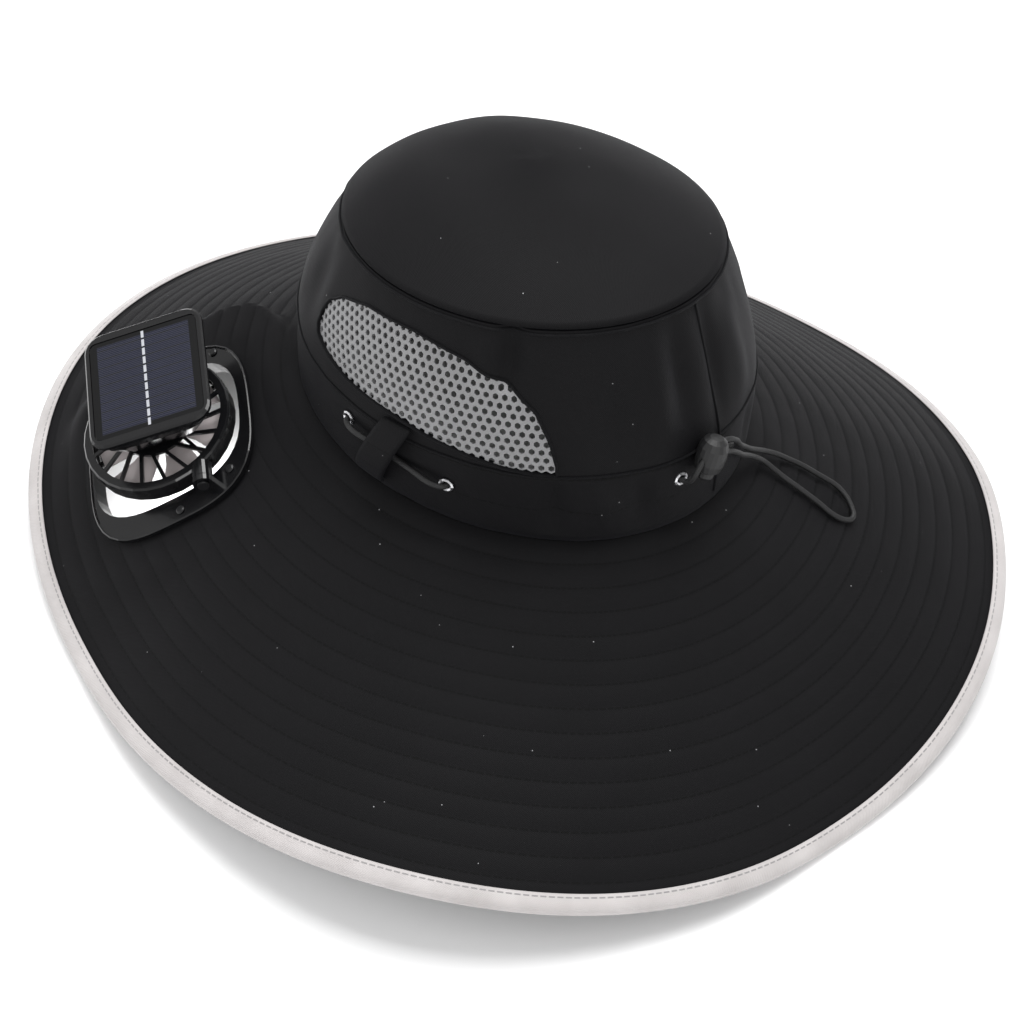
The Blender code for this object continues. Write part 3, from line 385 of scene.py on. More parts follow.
@dataclass(frozen=True)
class Tape:
    """Silver-grey binding tape with a stitch line near its inner edge."""

    name: str = "silver_binding"

    def build(self) -> bpy.types.Material:
        """Make the finish."""
        g = Graph(self.name)
        u, v, _ = g.split(g.coords("UV"))
        colour = g.mix(g.noise(g.coords(), 60.0, 4.0), (0.40, 0.375, 0.37), (0.60, 0.57, 0.565))
        ribs = g.wave(g.math("ADD", u, v), 0.0009)
        dash = g.math("LESS_THAN", g.math("FRACT", g.math("DIVIDE", u, 0.0034)), 0.72)
        row = g.math("LESS_THAN", g.math("ABSOLUTE", g.math("SUBTRACT", v, 0.0016)), 0.0003)
        stitched = g.math("MULTIPLY", row, dash)
        g.feed(g.shader.inputs["Base Color"], g.mix(stitched, colour, (0.27, 0.26, 0.26)))
        g.shader.inputs["Roughness"].default_value = 0.55
        g.shader.inputs["Sheen Weight"].default_value = 0.25
        g.bump(g.math("ADD", g.math("MULTIPLY", ribs, 0.3), stitched), 0.00018)
        return g.material


@dataclass(frozen=True)
class Grained:
    """A moulded, drawn or braided surface: one colour with fine grain."""

    name: str
    colour: tuple[float, float, float]
    roughness: float
    grain: float = 900.0
    depth: float = 0.00003
    metallic: float = 0.0
    coat: float = 0.0
    transmission: float = 0.0

    def build(self) -> bpy.types.Material:
        """Make the finish."""
        g = Graph(self.name)
        cloud = g.noise(g.coords(), 70.0, 4.0)
        paler = tuple(min(1.0, c * 1.3 + 0.002) for c in self.colour)
        g.feed(g.shader.inputs["Base Color"], g.mix(cloud, self.colour, paler))
        rough = g.math("ADD", g.math("MULTIPLY", cloud, 0.10), self.roughness - 0.05)
        g.feed(g.shader.inputs["Roughness"], rough)
        g.shader.inputs["Metallic"].default_value = self.metallic
        g.shader.inputs["Coat Weight"].default_value = self.coat
        g.shader.inputs["Coat Roughness"].default_value = 0.06
        g.shader.inputs["Transmission Weight"].default_value = self.transmission
        g.bump(g.noise(g.coords(), self.grain, 2.0), self.depth)
        return g.material


@dataclass(frozen=True)
class SolarGlass:
    """Dark blue cell strips with fine silver lines and a dashed bus bar, under clear resin."""

    frame: Matrix
    name: str = "solar_face"
    cell_u: float = 0.0440
    cell_v: float = 0.0490
    strips: int = 10
    fingers: int = 5
    bar_width: float = 0.0013

    def build(self) -> bpy.types.Material:
        """Make the finish."""
        g = Graph(self.name)
        turn = self.frame.to_3x3()
        u = g.along(turn.col[0].copy(), self.frame.translation)
        v = g.along(turn.col[1].copy(), self.frame.translation)
        pitch = self.cell_v / self.strips
        blue = g.mix(g.noise(g.coords(), 60.0, 2.0), (0.0025, 0.0032, 0.012), (0.0040, 0.0055, 0.020))
        shifted = g.math("ADD", v, pitch / 2)
        colour = g.mix(g.line(v, pitch / self.fingers, 0.00018), blue, (0.070, 0.074, 0.092))
        colour = g.mix(g.line(shifted, pitch, 0.0006), colour, (0.0012, 0.0012, 0.0016))
        inside = g.math("MULTIPLY", g.math("LESS_THAN", g.math("ABSOLUTE", u), self.cell_u / 2),
                        g.math("LESS_THAN", g.math("ABSOLUTE", v), self.cell_v / 2))
        colour = g.mix(inside, (0.0016, 0.0016, 0.0020), colour)
        bar = g.math("LESS_THAN", g.math("ABSOLUTE", u), self.bar_width / 2)
        dash = g.math("SUBTRACT", 1.0, g.line(shifted, pitch, 0.0011))
        reach = g.math("LESS_THAN", g.math("ABSOLUTE", v), self.cell_v / 2 + 0.0025)
        silver = g.math("MULTIPLY", g.math("MULTIPLY", bar, dash), reach)
        colour = g.mix(silver, colour, (0.42, 0.43, 0.46))
        g.feed(g.shader.inputs["Base Color"], colour)
        g.shader.inputs["Roughness"].default_value = 0.35
        g.shader.inputs["Specular IOR Level"].default_value = 0.25
        g.shader.inputs["Coat Weight"].default_value = 0.12
        g.shader.inputs["Coat Roughness"].default_value = 0.05
        return g.material


def deselect() -> None:
    """Leave nothing selected."""
    bpy.ops.object.select_all(action="DESELECT")


def hang(piece: bpy.types.Object, finish: bpy.types.Material, nodes: tuple[str, ...]) -> None:
    """Dress a finished piece and set what carries it.

    Args:
        piece: The finished object.
        finish: Its material.
        nodes: The solids that it stands for.
    """
    piece.data.materials.clear()
    piece.data.materials.append(finish)
    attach(piece, "root")
    if nodes:
        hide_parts(*nodes)
    LOG.info("made %s", piece.name)


def shell(name: str, outer: list[list[Vector]], inner: list[list[Vector]], wrap: bool,
          step: float, rises: list[float]) -> bpy.types.Object:
    """Closed cloth between two equal grids, with UVs in metres.

    Args:
        name: The object's name.
        outer: Rows of points on the outer face.
        inner: Rows of points on the inner face.
        wrap: Whether the rows close on themselves.
        step: Length along a row between two columns.
        rises: Length across the rows, for each row.

    Returns:
        The object.
    """
    bm = bmesh.new()
    layer = bm.loops.layers.uv.new("UVMap")
    grids = [[[bm.verts.new(p) for p in row] for row in rows] for rows in (outer, inner)]
    high, wide = len(outer), len(outer[0])
    span = wide if wrap else wide - 1

    def face(corners: list[tuple[bmesh.types.BMVert, tuple[float, float]]]) -> None:
        """Add one face with its UVs."""
        made = bm.faces.new([vert for vert, _ in corners])
        made.smooth = True
        for loop, (_, place) in zip(made.loops, corners):
            loop[layer].uv = place

    for turned, grid in enumerate(grids):
        for r in range(high - 1):
            for c in range(span):
                d = (c + 1) % wide
                quad = [(grid[r][c], (c * step, rises[r])), (grid[r][d], ((c + 1) * step, rises[r])),
                        (grid[r + 1][d], ((c + 1) * step, rises[r + 1])),
                        (grid[r + 1][c], (c * step, rises[r + 1]))]
                face(quad[::-1] if turned else quad)
    for r in (0, high - 1):
        for c in range(span):
            d = (c + 1) % wide
            place = (c * step, rises[r])
            face([(grids[0][r][c], place), (grids[0][r][d], place), (grids[1][r][d], place),
                  (grids[1][r][c], place)])
    if not wrap:
        for c in (0, wide - 1):
            for r in range(high - 1):
                place = (c * step, rises[r])
                face([(grids[0][r][c], place), (grids[0][r + 1][c], place), (grids[1][r + 1][c], place),
                      (grids[1][r][c], place)])
    bmesh.ops.recalc_face_normals(bm, faces=bm.faces)
    mesh = bpy.data.meshes.new(name)
    bm.to_mesh(mesh)
    bm.free()
    piece = bpy.data.objects.new(name, mesh)
    bpy.context.collection.objects.link(piece)
    return piece


def cut(piece: bpy.types.Object, tool: bpy.types.Object) -> None:
    """Cut one closed shape out of another and delete the cutting shape."""
    deselect()
    bpy.context.view_layer.objects.active = piece
    piece.select_set(True)
    mod = piece.modifiers.new("cut", "BOOLEAN")
    mod.operation = "DIFFERENCE"
    mod.solver = "EXACT"
    mod.object = tool
    bpy.ops.object.modifier_apply(modifier=mod.name)
    bpy.data.objects.remove(tool, do_unlink=True)


def window_edges(columns: int, grow: float) -> list[tuple[float, float, float]]:
    """Smoothed outline of the leaf-shaped window.

    Args:
        columns: How many columns to give.
        grow: How far it is made larger, in metres.

    Returns:
        Degrees, lower share and upper share of each column.
    """
    middle = (WINDOW[0].angle + WINDOW[-1].angle) / 2
    half = (WINDOW[-1].angle - WINDOW[0].angle) / 2
    result = []
    for k in range(columns):
        f = 0.5 - 0.5 * math.cos(math.pi * k / (columns - 1))
        angle = WINDOW[0].angle + (WINDOW[-1].angle - WINDOW[0].angle) * f
        last = max(i for i in range(len(WINDOW) - 1) if WINDOW[i].angle <= angle + 1e-9)
        a, b = WINDOW[last], WINDOW[last + 1]
        part = (angle - a.angle) / (b.angle - a.angle)
        low = a.low + (b.low - a.low) * part
        high = a.high + (b.high - a.high) * part
        wider = (half + math.degrees(grow / BAND_RADIUS)) / half
        taller = grow / FORM.tip_height
        result.append((middle + (angle - middle) * wider, low - taller, high + taller))
    return result


@dataclass
class Crown:
    """The crown: band, wall, domed tip, netted windows, straps and seams."""

    columns: int = 240
    cloth: float = 0.0016
    band_top: float = 0.0325 / 0.0876
    gap: float = 0.0003

    def ripple(self, angle: float, share: float) -> float:
        """Small unevenness of the cloth."""
        place = Vector((math.cos(angle) * 3.1, math.sin(angle) * 3.1, share * 2.4))
        fine = Vector((math.cos(angle) * 11, math.sin(angle) * 11, share * 6))
        return 0.0007 * noise.noise(place) + 0.00025 * noise.noise(fine)

    def ring(self, name: str, shares: list[float]) -> bpy.types.Object:
        """Closed ring of the crown's wall.

        Args:
            name: The object's name.
            shares: Heights of its rows.

        Returns:
            The object.
        """
        turns = [2 * math.pi * k / self.columns for k in range(self.columns)]
        outer = [[FORM.wall(t, s, self.ripple(t, s)) for t in turns] for s in shares]
        inner = [[FORM.wall(t, s, self.ripple(t, s) - self.cloth) for t in turns] for s in shares]
        return shell(name, outer, inner, True, 2 * math.pi * 0.095 / self.columns,
                     [s * FORM.tip_height for s in shares])

    def band(self, finish: bpy.types.Material) -> None:
        """Make the drawcord channel at the foot."""
        low = self.gap / FORM.tip_height
        shares = [low + (self.band_top - low) * k / 12 for k in range(13)]
        hang(self.ring("band_cloth", shares), finish, ("crown_band",))

    def side(self, finish: bpy.types.Material) -> None:
        """Make the wall with its two windows cut out."""
        low = self.band_top + self.gap / FORM.tip_height
        piece = self.ring("side_cloth", [low + (1 - low) * k / 22 for k in range(23)])
        for side in Side:
            cut(piece, self.leaf(side, self.gap, 0.006, -0.006, f"hole_{side.value}"))
        for polygon in piece.data.polygons:
            polygon.use_smooth = True
        piece.data.set_sharp_from_angle(angle=math.radians(50))
        hang(piece, finish, ("crown_side",))

    def leaf(self, side: Side, grow: float, high: float, low: float, name: str) -> bpy.types.Object:
        """Solid of the window's shape, for cutting."""
        outer, inner = [], []
        edges = window_edges(48, grow)
        for k in range(7):
            row_out, row_in = [], []
            for degrees, bottom, top in edges:
                angle = math.radians(degrees if side is Side.LEFT else 180 - degrees)
                share = bottom + (top - bottom) * k / 6
                row_out.append(FORM.wall(angle, share, high))
                row_in.append(FORM.wall(angle, share, low))
            outer.append(row_out)
            inner.append(row_in)
        return shell(name, outer, inner, False, 0.001, [0.001 * k for k in range(7)])

    def tip(self, finish: bpy.types.Material) -> None:
        """Make the domed tip."""
        shares = [1.0 - 0.985 * k / 34 for k in range(35)]
        turns = [2 * math.pi * k / self.columns for k in range(self.columns)]

        def lift(t: float, s: float) -> float:
            """Small unevenness of the dome."""
            place = Vector((math.cos(t) * s * 2.6, math.sin(t) * s * 2.6, 4.0))
            return 0.0012 * noise.noise(place) * (1 - s**4)

        outer = [[FORM.top(t, s, lift(t, s) + self.gap + self.cloth / 2) for t in turns] for s in shares]
        inner = [[FORM.top(t, s * 0.996, lift(t, s) + self.gap - (0 if s == 1.0 else self.cloth / 2))
                  for t in turns] for s in shares]
        piece = shell("tip_cloth", outer, inner, True, 2 * math.pi * 0.08 / self.columns,
                      [s * 0.08 for s in shares])
        bm = bmesh.new()
        bm.from_mesh(piece.data)
        bm.verts.ensure_lookup_table()
        rows = len(shares)
        last = [set(bm.verts[(row + 1) * self.columns - k - 1] for k in range(self.columns))
                for row in (rows - 1, 2 * rows - 1)]
        joining = [f for f in bm.faces if all(any(v in ring for v in f.verts) for ring in last)]
        bmesh.ops.delete(bm, geom=joining, context="FACES_ONLY")
        for ring in last:
            middle = sum((v.co for v in ring), Vector()) / self.columns
            bmesh.ops.pointmerge(bm, verts=list(ring), merge_co=middle)
        bm.to_mesh(piece.data)
        bm.free()
        hang(piece, finish, ("crown_tip",))

    def net(self, side: Side, finish: bpy.types.Material) -> None:
        """Make a window's spacer mesh: a sheet of open hexagons."""
        pitch = 0.0038
        outline = window_edges(60, 0.0012)
        bm = bmesh.new()

        def limits(degrees: float) -> tuple[float, float] | None:
            """Lower and upper share of the leaf at an angle."""
            for a, b in zip(outline, outline[1:]):
                if a[0] <= degrees <= b[0]:
                    part = (degrees - a[0]) / max(b[0] - a[0], 1e-9)
                    return a[1] + (b[1] - a[1]) * part, a[2] + (b[2] - a[2]) * part
            return None

        def place(x: float, y: float) -> Vector:
            """Point of the net at a distance along and up the wall."""
            degrees = math.degrees(x / BAND_RADIUS)
            angle = math.radians(degrees if side is Side.LEFT else 180 - degrees)
            return FORM.wall(angle, y / FORM.tip_height, -0.0003)

        rows = int(0.09 / (pitch * 0.866))
        for row in range(rows):
            for col in range(-20, 26):
                x = (col + 0.5 * (row % 2)) * pitch
                y = row * pitch * 0.866
                span = limits(math.degrees(x / BAND_RADIUS))
                if span is None or not span[0] < y / FORM.tip_height < span[1]:
                    continue
                turns = [math.radians(30 + 60 * k) for k in range(6)]
                wide = [bm.verts.new(place(x + 0.5774 * pitch * math.cos(t), y + 0.577 * pitch * math.sin(t)))
                        for t in turns]
                small = [bm.verts.new(place(x + 0.34 * pitch * math.cos(t), y + 0.34 * pitch * math.sin(t)))
                         for t in turns]
                for k in range(6):
                    j = (k + 1) % 6
                    bm.faces.new((wide[k], wide[j], small[j], small[k]))
        bmesh.ops.remove_doubles(bm, verts=bm.verts, dist=0.00012)
        bmesh.ops.recalc_face_normals(bm, faces=bm.faces)
        mesh = bpy.data.meshes.new(f"window_net_{side.value}")
        bm.to_mesh(mesh)
        bm.free()
        piece = bpy.data.objects.new(mesh.name, mesh)
        bpy.context.collection.objects.link(piece)
        deselect()
        bpy.context.view_layer.objects.active = piece
        piece.select_set(True)
        thick = piece.modifiers.new("thick", "SOLIDIFY")
        thick.thickness = 0.0008
        thick.offset = -1.0
        bpy.ops.object.modifier_apply(modifier=thick.name)
        hang(piece, finish, (f"mesh_window_{side.value}",))

    def strap(self, side: Side, finish: bpy.types.Material) -> None:
        """Make the cloth loop over a side cord."""
        middle, lean = (1.5, 4.0) if side is Side.LEFT else (178.5, -4.0)
        steps, across = 28, 8
        outer, inner = [], []
        for step in range(steps + 1):
            f = step / steps
            share = 0.44 + (0.045 - 0.44) * f
            stand = 0.0050 * math.sin(math.pi * f) ** 0.6 + 2 * self.gap
            row_out, row_in = [], []
            for c in range(across + 1):
                edge = 0.0003 * (2 * abs(c / across - 0.5)) ** 6
                turn = math.radians(middle + lean * (1 - 2 * f)) + (c / across - 0.5) * 0.0145 / 0.1049
                row_out.append(FORM.wall(turn, share, stand + self.cloth - edge))
                row_in.append(FORM.wall(turn, share, stand + edge))
            outer.append(row_out)
            inner.append(row_in)
        piece = shell(f"strap_{side.value}", outer, inner, False, 0.0145 / across,
                      [0.036 * k / steps for k in range(steps + 1)])
        hang(piece, finish, (f"side_loop_{side.value}",))

    def seams(self, finish: bpy.types.Material) -> None:
        """Make the stitched ridges round the tip, the windows, the band and down the back."""
        turns = [2 * math.pi * k / 200 for k in range(200)]
        lines = {"tip_seam": ([FORM.wall(t, 0.985, self.ripple(t, 0.985) + 0.0003) for t in turns], True),
                 "band_seam": ([FORM.wall(t, self.band_top, self.ripple(t, self.band_top) + 0.0002)
                                for t in turns], True)}
        back = math.radians(91)
        rises = [0.05 + 0.93 * k / 40 for k in range(41)]
        spine = [FORM.wall(back, rise, self.ripple(back, rise) + 0.0002) for rise in rises]
        lines["back_seam"] = (spine, False)
        for side in Side:
            edges = window_edges(48, 0.0009)
            ring = [(d, low) for d, low, _ in edges] + [(d, top) for d, _, top in edges[::-1]]
            points = []
            for degrees, share in ring:
                turn = math.radians(degrees if side is Side.LEFT else 180 - degrees)
                points.append(FORM.wall(turn, share, self.ripple(turn, share) + 0.0002))
            lines[f"window_seam_{side.value}"] = (points, True)
        for name, (points, closed) in lines.items():
            hang(tube(name, points, 0.0006, closed), finish, ())


def tube(name: str, points: list[Vector], radius: float, closed: bool = False) -> bpy.types.Object:
    """Round tube along points, as one poly spline.

    Args:
        name: The object's name.
        points: The middle line.
        radius: The tube's radius.
        closed: Whether it closes on itself.

    Returns:
        The curve object.
    """
    data = bpy.data.curves.new(name, "CURVE")
    data.dimensions = "3D"
    data.bevel_depth = radius
    data.bevel_resolution = 4
    data.use_fill_caps = True
    spline = data.splines.new("POLY")
    spline.points.add(len(points) - 1)
    for point, place in zip(spline.points, points):
        point.co = (*place, 1.0)
    spline.use_cyclic_u = closed
    spline.use_smooth = True
    piece = bpy.data.objects.new(name, data)
    bpy.context.collection.objects.link(piece)
    return piece


@dataclass
class Brim:
    """The quilted brim and the tape round its edge."""

    columns: int = 300
    cloth: float = 0.0024
    row_pitch: float = 0.0100
    lip: float = 0.0034
    hole_points: int = 96
    hole_u: float = 0.0404
    hole_v: float = 0.0335
    hole_room: float = 0.0021
    hole_at: tuple[float, float] = (0.0020, -0.0025)

    def pucker(self, angle: float, reach: float) -> float:
        """Rise of the cloth between stitch rows, with small puckers."""
        near = (reach / self.row_pitch + 0.5) % 1.0 - 0.5
        row = -0.00045 * math.exp(-(near * self.row_pitch / 0.0011) ** 2)
        place = Vector((math.cos(angle) * 9, math.sin(angle) * 9, reach * 70))
        wide = Vector((math.cos(angle) * 3, math.sin(angle) * 3, reach * 16))
        return row + 0.00030 * noise.noise(place) + 0.0008 * noise.noise(wide)

    def skin(self, finish: bpy.types.Material, frame: Matrix) -> None:
        """Make the brim with its hole for the fan."""
        reaches = [0.0]
        for k in range(1, 16):
            reaches += [k * 0.01 - 0.005, k * 0.01 - 0.0014, k * 0.01, k * 0.01 + 0.0014]
        reaches = [r for r in reaches if r < 0.1495] + [0.1508]
        turns = [2 * math.pi * k / self.columns for k in range(self.columns)]
        outer, inner = [], []
        lip_out = [FORM.oval(t) - FORM.outward(t) * self.lip for t in turns]
        outer.append(lip_out)
        inner.append([p - UP * self.cloth for p in lip_out])
        for reach in reaches:
            row_out, row_in = [], []
            for t in turns:
                point, _ = FORM.brim_at(t, reach / FORM.brim, frame)
                droop = FORM.droop_at(t)
                up = FORM.outward(t) * math.sin(droop) + UP * math.cos(droop)
                clear = smoothstep((FORM.from_base(point, frame) - 0.0015) / 0.006)
                free = clear * smoothstep((0.147 - reach) / 0.006) * smoothstep(reach / 0.004)
                rise = self.pucker(t, reach) * free
                row_out.append(point + up * rise)
                row_in.append(point - up * (self.cloth - rise) if reach else point - UP * self.cloth)
            outer.append(row_out)
            inner.append(row_in)
        piece = shell("brim_cloth", outer, inner, True, 2 * math.pi * 0.165 / self.columns,
                      [-self.lip] + reaches)
        bm = bmesh.new()
        ring = []
        count = self.hole_points
        half_u, half_v = self.hole_u + self.hole_room, self.hole_v + self.hole_room
        for k in range(count):
            t = 2 * math.pi * k / count
            c, s = math.cos(t), math.sin(t)
            radius = (abs(c / half_u) ** 3 + abs(s / half_v) ** 3) ** (-1 / 3)
            ring.append((radius * c + self.hole_at[0], radius * s + self.hole_at[1]))
        low = [bm.verts.new((x, y, -0.01)) for x, y in ring]
        high = [bm.verts.new((x, y, 0.01)) for x, y in ring]
        bm.faces.new(low[::-1])
        bm.faces.new(high)
        for k in range(count):
            j = (k + 1) % count
            bm.faces.new((low[k], low[j], high[j], high[k]))
        mesh = bpy.data.meshes.new("hole")
        bm.to_mesh(mesh)
        bm.free()
        mesh.transform(frame)
        tool = bpy.data.objects.new("hole", mesh)
        bpy.context.collection.objects.link(tool)
        cut(piece, tool)
        for polygon in piece.data.polygons:
            polygon.use_smooth = True
        piece.data.set_sharp_from_angle(angle=math.radians(50))
        hang(piece, finish, ("brim",))

    def tape(self, finish: bpy.types.Material, frame: Matrix) -> None:
        """Make the folded tape."""
        width, thick, gap = 0.0065, 0.0010, 0.0003
        columns = 360
        turns = [2 * math.pi * k / columns for k in range(columns)]
        outer: list[list[Vector]] = [[] for _ in range(9)]
        inner: list[list[Vector]] = [[] for _ in range(9)]
        for k, t in enumerate(turns):
            droop = FORM.droop_at(t)
            along = FORM.outward(t) * math.cos(droop) - UP * math.sin(droop)
            up = FORM.outward(t) * math.sin(droop) + UP * math.cos(droop)
            edge, _ = FORM.brim_at(t, 1.0, frame)
            start, _ = FORM.brim_at(t, 1.0 - width / FORM.brim, frame)
            wobble = 0.0002 * noise.noise(Vector((math.cos(t) * 24, math.sin(t) * 24, 0)))
            middle = edge - up * (self.cloth / 2)
            for face, base in ((outer, gap + thick), (inner, gap)):
                half = self.cloth / 2 + base
                face[0].append(start - up * (self.cloth / 2) + up * (half - (0.0005 if face is outer else 0)))
                face[1].append(start.lerp(edge, 0.2) - up * (self.cloth / 2) + up * (half + wobble))
                face[2].append(start.lerp(edge, 0.6) - up * (self.cloth / 2) + up * (half + wobble))
                for place, turn in ((3, 65), (4, 25), (5, -25), (6, -65)):
                    lean = math.radians(turn)
                    direction = along * math.cos(lean) * base / half * 1.6 + up * math.sin(lean)
                    face[place].append(middle + direction * half)
                face[7].append(start.lerp(edge, 0.6) - up * (self.cloth / 2) - up * half)
                face[8].append(start - up * (self.cloth / 2) - up * half)
        rises = [0.0, 0.0013, 0.0039, 0.0060, 0.0070, 0.0080, 0.0090, 0.0110, 0.0150]
        piece = shell("brim_tape", outer, inner, True, 2 * math.pi * 0.222 / columns, rises)
        hang(piece, finish, ("edge_binding",))


LOOP_ROUTE = (
    (0.0078, 0.1071, 0.0375), (0.0020, 0.1086, 0.0378), (-0.0045, 0.1090, 0.0332),
    (-0.0130, 0.1067, 0.0234), (-0.0212, 0.1045, 0.0155), (-0.0300, 0.1030, 0.0072),
    (-0.0403, 0.1032, -0.0006), (-0.0484, 0.1062, -0.0061), (-0.0547, 0.1103, -0.0111),
    (-0.0592, 0.1149, -0.0147), (-0.0627, 0.1197, -0.0181), (-0.0662, 0.1242, -0.0215),
    (-0.0686, 0.1281, -0.0241), (-0.0692, 0.1322, -0.0264), (-0.0684, 0.1360, -0.0282),
    (-0.0671, 0.1390, -0.0299), (-0.0652, 0.1415, -0.0311), (-0.0622, 0.1422, -0.0312),
    (-0.0590, 0.1410, -0.0300), (-0.0561, 0.1384, -0.0281), (-0.0539, 0.1350, -0.0256),
    (-0.0524, 0.1315, -0.0231), (-0.0506, 0.1278, -0.0204), (-0.0487, 0.1240, -0.0178),
    (-0.0462, 0.1195, -0.0145), (-0.0437, 0.1150, -0.0114), (-0.0415, 0.1106, -0.0081),
    (-0.0388, 0.1070, -0.0043), (-0.0345, 0.1053, 0.0000), (-0.0268, 0.1048, 0.0066),
    (-0.0160, 0.1073, 0.0160), (-0.0080, 0.1094, 0.0238), (-0.0010, 0.1104, 0.0302),
    (0.0040, 0.1102, 0.0332), (0.0075, 0.1097, 0.0342))
LEFT_ROUTE = ((0.0216, 0.1008, 0.0236), (0.0216, 0.1048, 0.0242), (0.0214, 0.1072, 0.0280),
              (0.0200, 0.1080, 0.0325), (0.0168, 0.1080, 0.0360))
RIGHT_ROUTE = ((-0.0082, 0.1022, 0.0256), (-0.0082, 0.1053, 0.0258), (-0.0030, 0.1053, 0.0280),
               (0.0030, 0.1041, 0.0310), (0.0095, 0.1048, 0.0335))


def smooth_route(points: list[Vector], spacing: float) -> list[Vector]:
    """Evenly spaced points on one smooth curve.

    Args:
        points: The chosen points.
        spacing: About how far apart the result's points are.

    Returns:
        The points.
    """
    fine = []
    for i in range(len(points) - 1):
        p0, p1, p2 = points[max(i - 1, 0)], points[i], points[i + 1]
        p3 = points[min(i + 2, len(points) - 1)]
        for k in range(16):
            f = k / 16
            fine.append(0.5 * (2 * p1 + (p2 - p0) * f + (2 * p0 - 5 * p1 + 4 * p2 - p3) * f**2
                               + (3 * p1 - p0 - 3 * p2 + p3) * f**3))
    fine.append(points[-1])
    lengths = [0.0]
    for a, b in zip(fine, fine[1:]):
        lengths.append(lengths[-1] + (b - a).length)
    count = max(3, round(lengths[-1] / spacing))
    result, j = [], 0
    for k in range(count + 1):
        target = lengths[-1] * k / count
        while j < len(fine) - 2 and lengths[j + 1] < target:
            j += 1
        part = (target - lengths[j]) / (lengths[j + 1] - lengths[j])
        result.append(fine[j].lerp(fine[j + 1], min(1.0, part)))
    return result


@dataclass
class Drawcord:
    """The elastic cord: its free loop, the strands to the toggle and the stretches at the sides."""

    radius: float = 0.00125

    def strand(self, name: str, points: list[Vector], finish: bpy.types.Material,
               node: str) -> bpy.types.Object:
        """Make one strand.

        Args:
            name: The object's name.
            points: The chosen points, in the row's frame.
            finish: Its material.
            node: The solid that it stands for.

        Returns:
            The curve object.
        """
        piece = tube(name, smooth_route(points, 0.0013), self.radius)
        hang(piece, finish, (node,))
        return piece

    def build(self, finish: bpy.types.Material, nodes: dict[str, bpy.types.Object]) -> None:
        """Make every strand."""
        loop = [Vector(p) + SEAM_CENTRE for p in LOOP_ROUTE]
        piece = self.strand("cord_loop", loop, finish, "drawcord_loop")
        route = smooth_route(loop, 0.0013)
        self.strand("cord_left", [Vector(p) + SEAM_CENTRE for p in LEFT_ROUTE], finish, "drawcord_left")
        self.strand("cord_right", [Vector(p) + SEAM_CENTRE for p in RIGHT_ROUTE], finish, "drawcord_right")
        spans = {Side.LEFT: ((-10.0, 0.278), (18.5, 0.212)), Side.RIGHT: ((190.0, 0.278), (161.5, 0.212))}
        for side, ends in spans.items():
            points = []
            for f, out in ((0, -0.0005), (0, 0.0016), (0.05, 0.0032), (0.15, 0.0035), (0.35, 0.0018),
                           (0.65, 0.0018), (0.85, 0.0035), (0.95, 0.0032), (1, 0.0016), (1, -0.0005)):
                angle = math.radians(ends[0][0] + (ends[1][0] - ends[0][0]) * f)
                points.append(FORM.wall(angle, ends[0][1] + (ends[1][1] - ends[0][1]) * f, out))
            self.strand(f"cord_side_{side.value}", points, finish, f"side_cord_{side.value}")


@dataclass
class Studio:
    """Floor, lights and camera."""

    position: Vector
    target: Vector
    roll: float
    lens: float

    def build(self) -> None:
        """Make the studio."""
        deselect()
        bpy.ops.mesh.primitive_plane_add(size=8.0, location=(0, 0, -0.0008))
        floor = bpy.context.object
        floor.name = "floor"
        g = Graph("floor_paper")
        paper = g.mix(g.noise(g.coords(), 3.0), (0.93, 0.93, 0.935), (0.95, 0.95, 0.95))
        g.feed(g.shader.inputs["Base Color"], paper)
        g.shader.inputs["Roughness"].default_value = 0.9
        floor.data.materials.append(g.material)
        world = bpy.data.worlds.new("studio")
        bpy.context.scene.world = world
        world.use_nodes = True
        back = world.node_tree.nodes["Background"]
        back.inputs[0].default_value = (1.0, 1.0, 1.0, 1.0)
        back.inputs[1].default_value = 0.55
        bpy.context.scene.view_settings.view_transform = "Standard"
        for place, size, power in (((-0.6, -0.3, 1.9), 1.4, 44.0), ((1.3, 1.6, 1.5), 1.2, 17.0),
                                   ((1.5, -1.2, 1.0), 1.0, 10.0)):
            deselect()
            bpy.ops.object.light_add(type="AREA", location=place)
            lamp = bpy.context.object
            lamp.data.size = size
            lamp.data.energy = power
            lamp.rotation_euler = (Vector((0, 0, 0.1)) - lamp.location).to_track_quat("-Z", "Y").to_euler()
        deselect()
        bpy.ops.object.light_add(type="AREA", location=(0.085, -0.105, 0.035))
        glow = bpy.context.object
        glow.data.size = 0.05
        glow.data.energy = 0.08
        bpy.ops.object.camera_add(location=self.position)
        camera = bpy.context.object
        look = (self.target - self.position).to_track_quat("-Z", "Y")
        camera.rotation_mode = "QUATERNION"
        camera.rotation_quaternion = look @ Quaternion((0, 0, 1), self.roll)
        camera.data.lens = self.lens
        camera.data.sensor_width = 36.0
        camera.data.clip_start = 0.01
        bpy.context.scene.camera = camera


def dress(nodes: dict[str, bpy.types.Object], names: list[str], finish: bpy.types.Material) -> None:
    """Give carried-over solids a finish."""
    for name in names:
        for place in nodes[name].material_slots:
            place.material = finish


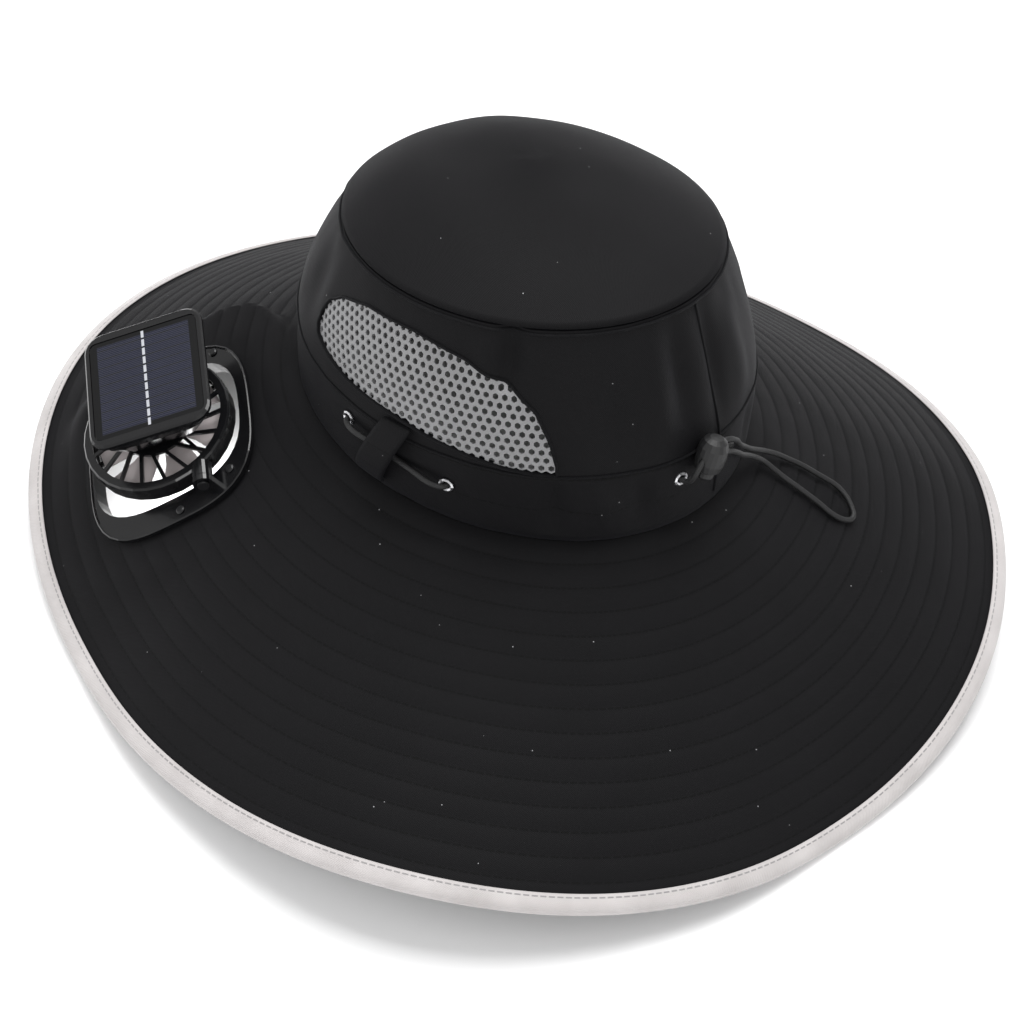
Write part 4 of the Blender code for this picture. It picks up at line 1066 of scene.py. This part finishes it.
def main() -> None:
    """Build the scene."""
    logging.basicConfig(level=logging.INFO)
    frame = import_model()
    nodes = frame["nodes"]
    Studio(Vector((0.5901, 0.4349, 0.7388)), Vector((-0.0315, -0.0168, -0.0213)), 0.1077, 76.75).build()
    fan = FORM.fan_frame()
    head = fan @ Matrix.Translation((-0.0023, -0.0025, 0.0150)) @ Matrix.Rotation(math.radians(-13.7), 4, "Y")
    panel = head @ Matrix.Translation((-0.0043, -0.0116, 0.0187))
    cord = Grained("braided_cord", (0.004, 0.004, 0.0045), 0.6, 1500.0, 0.00025).build()
    plain = Cloth("plain_cloth").build()
    Drawcord().build(cord, nodes)
    brim = Brim()
    brim.skin(Cloth("quilted_cloth", row_pitch=0.0100).build(), fan)
    brim.tape(Tape().build(), fan)
    crown = Crown()
    crown.band(Cloth("band_cloth_finish", row_pitch=0.0155).build())
    crown.side(plain)
    crown.tip(plain)
    crown.seams(Cloth("seam_thread", light=(0.006, 0.006, 0.007)).build())
    net = Grained("spacer_net", (0.20, 0.20, 0.205), 0.42, 1800.0, 0.00015, metallic=0.15).build()
    for side in Side:
        crown.net(side, net)
        crown.strap(side, Cloth(f"strap_cloth_{side.value}", row_pitch=0.0120).build())
    gloss = Grained("gloss_moulding", (0.003, 0.003, 0.0036), 0.2, 500.0, 0.00001, coat=0.15).build()
    matte = Grained("matte_moulding", (0.005, 0.005, 0.0055), 0.5).build()
    steel = Grained("eyelet_metal", (0.60, 0.60, 0.62), 0.27, metallic=1.0).build()
    screw = Grained("dark_metal", (0.012, 0.012, 0.013), 0.35, metallic=0.3).build()
    blade = Grained("pale_blade", (0.42, 0.38, 0.38), 0.35, coat=0.1).build()
    dress(nodes, ["fan_flange", "fan_cage", "fan_pod", "panel_frame"], gloss)
    dress(nodes, ["fan_backing", "cord_lock", "lock_button"], matte)
    dress(nodes, [n for n in nodes if n.startswith("eyelet")], steel)
    dress(nodes, [n for n in nodes if n.startswith("flange_screw")] + ["hinge_pin"], screw)
    dress(nodes, ["impeller"], blade)
    dress(nodes, ["solar_cells"], SolarGlass(panel).build())


if __name__ == "__main__":
    main()
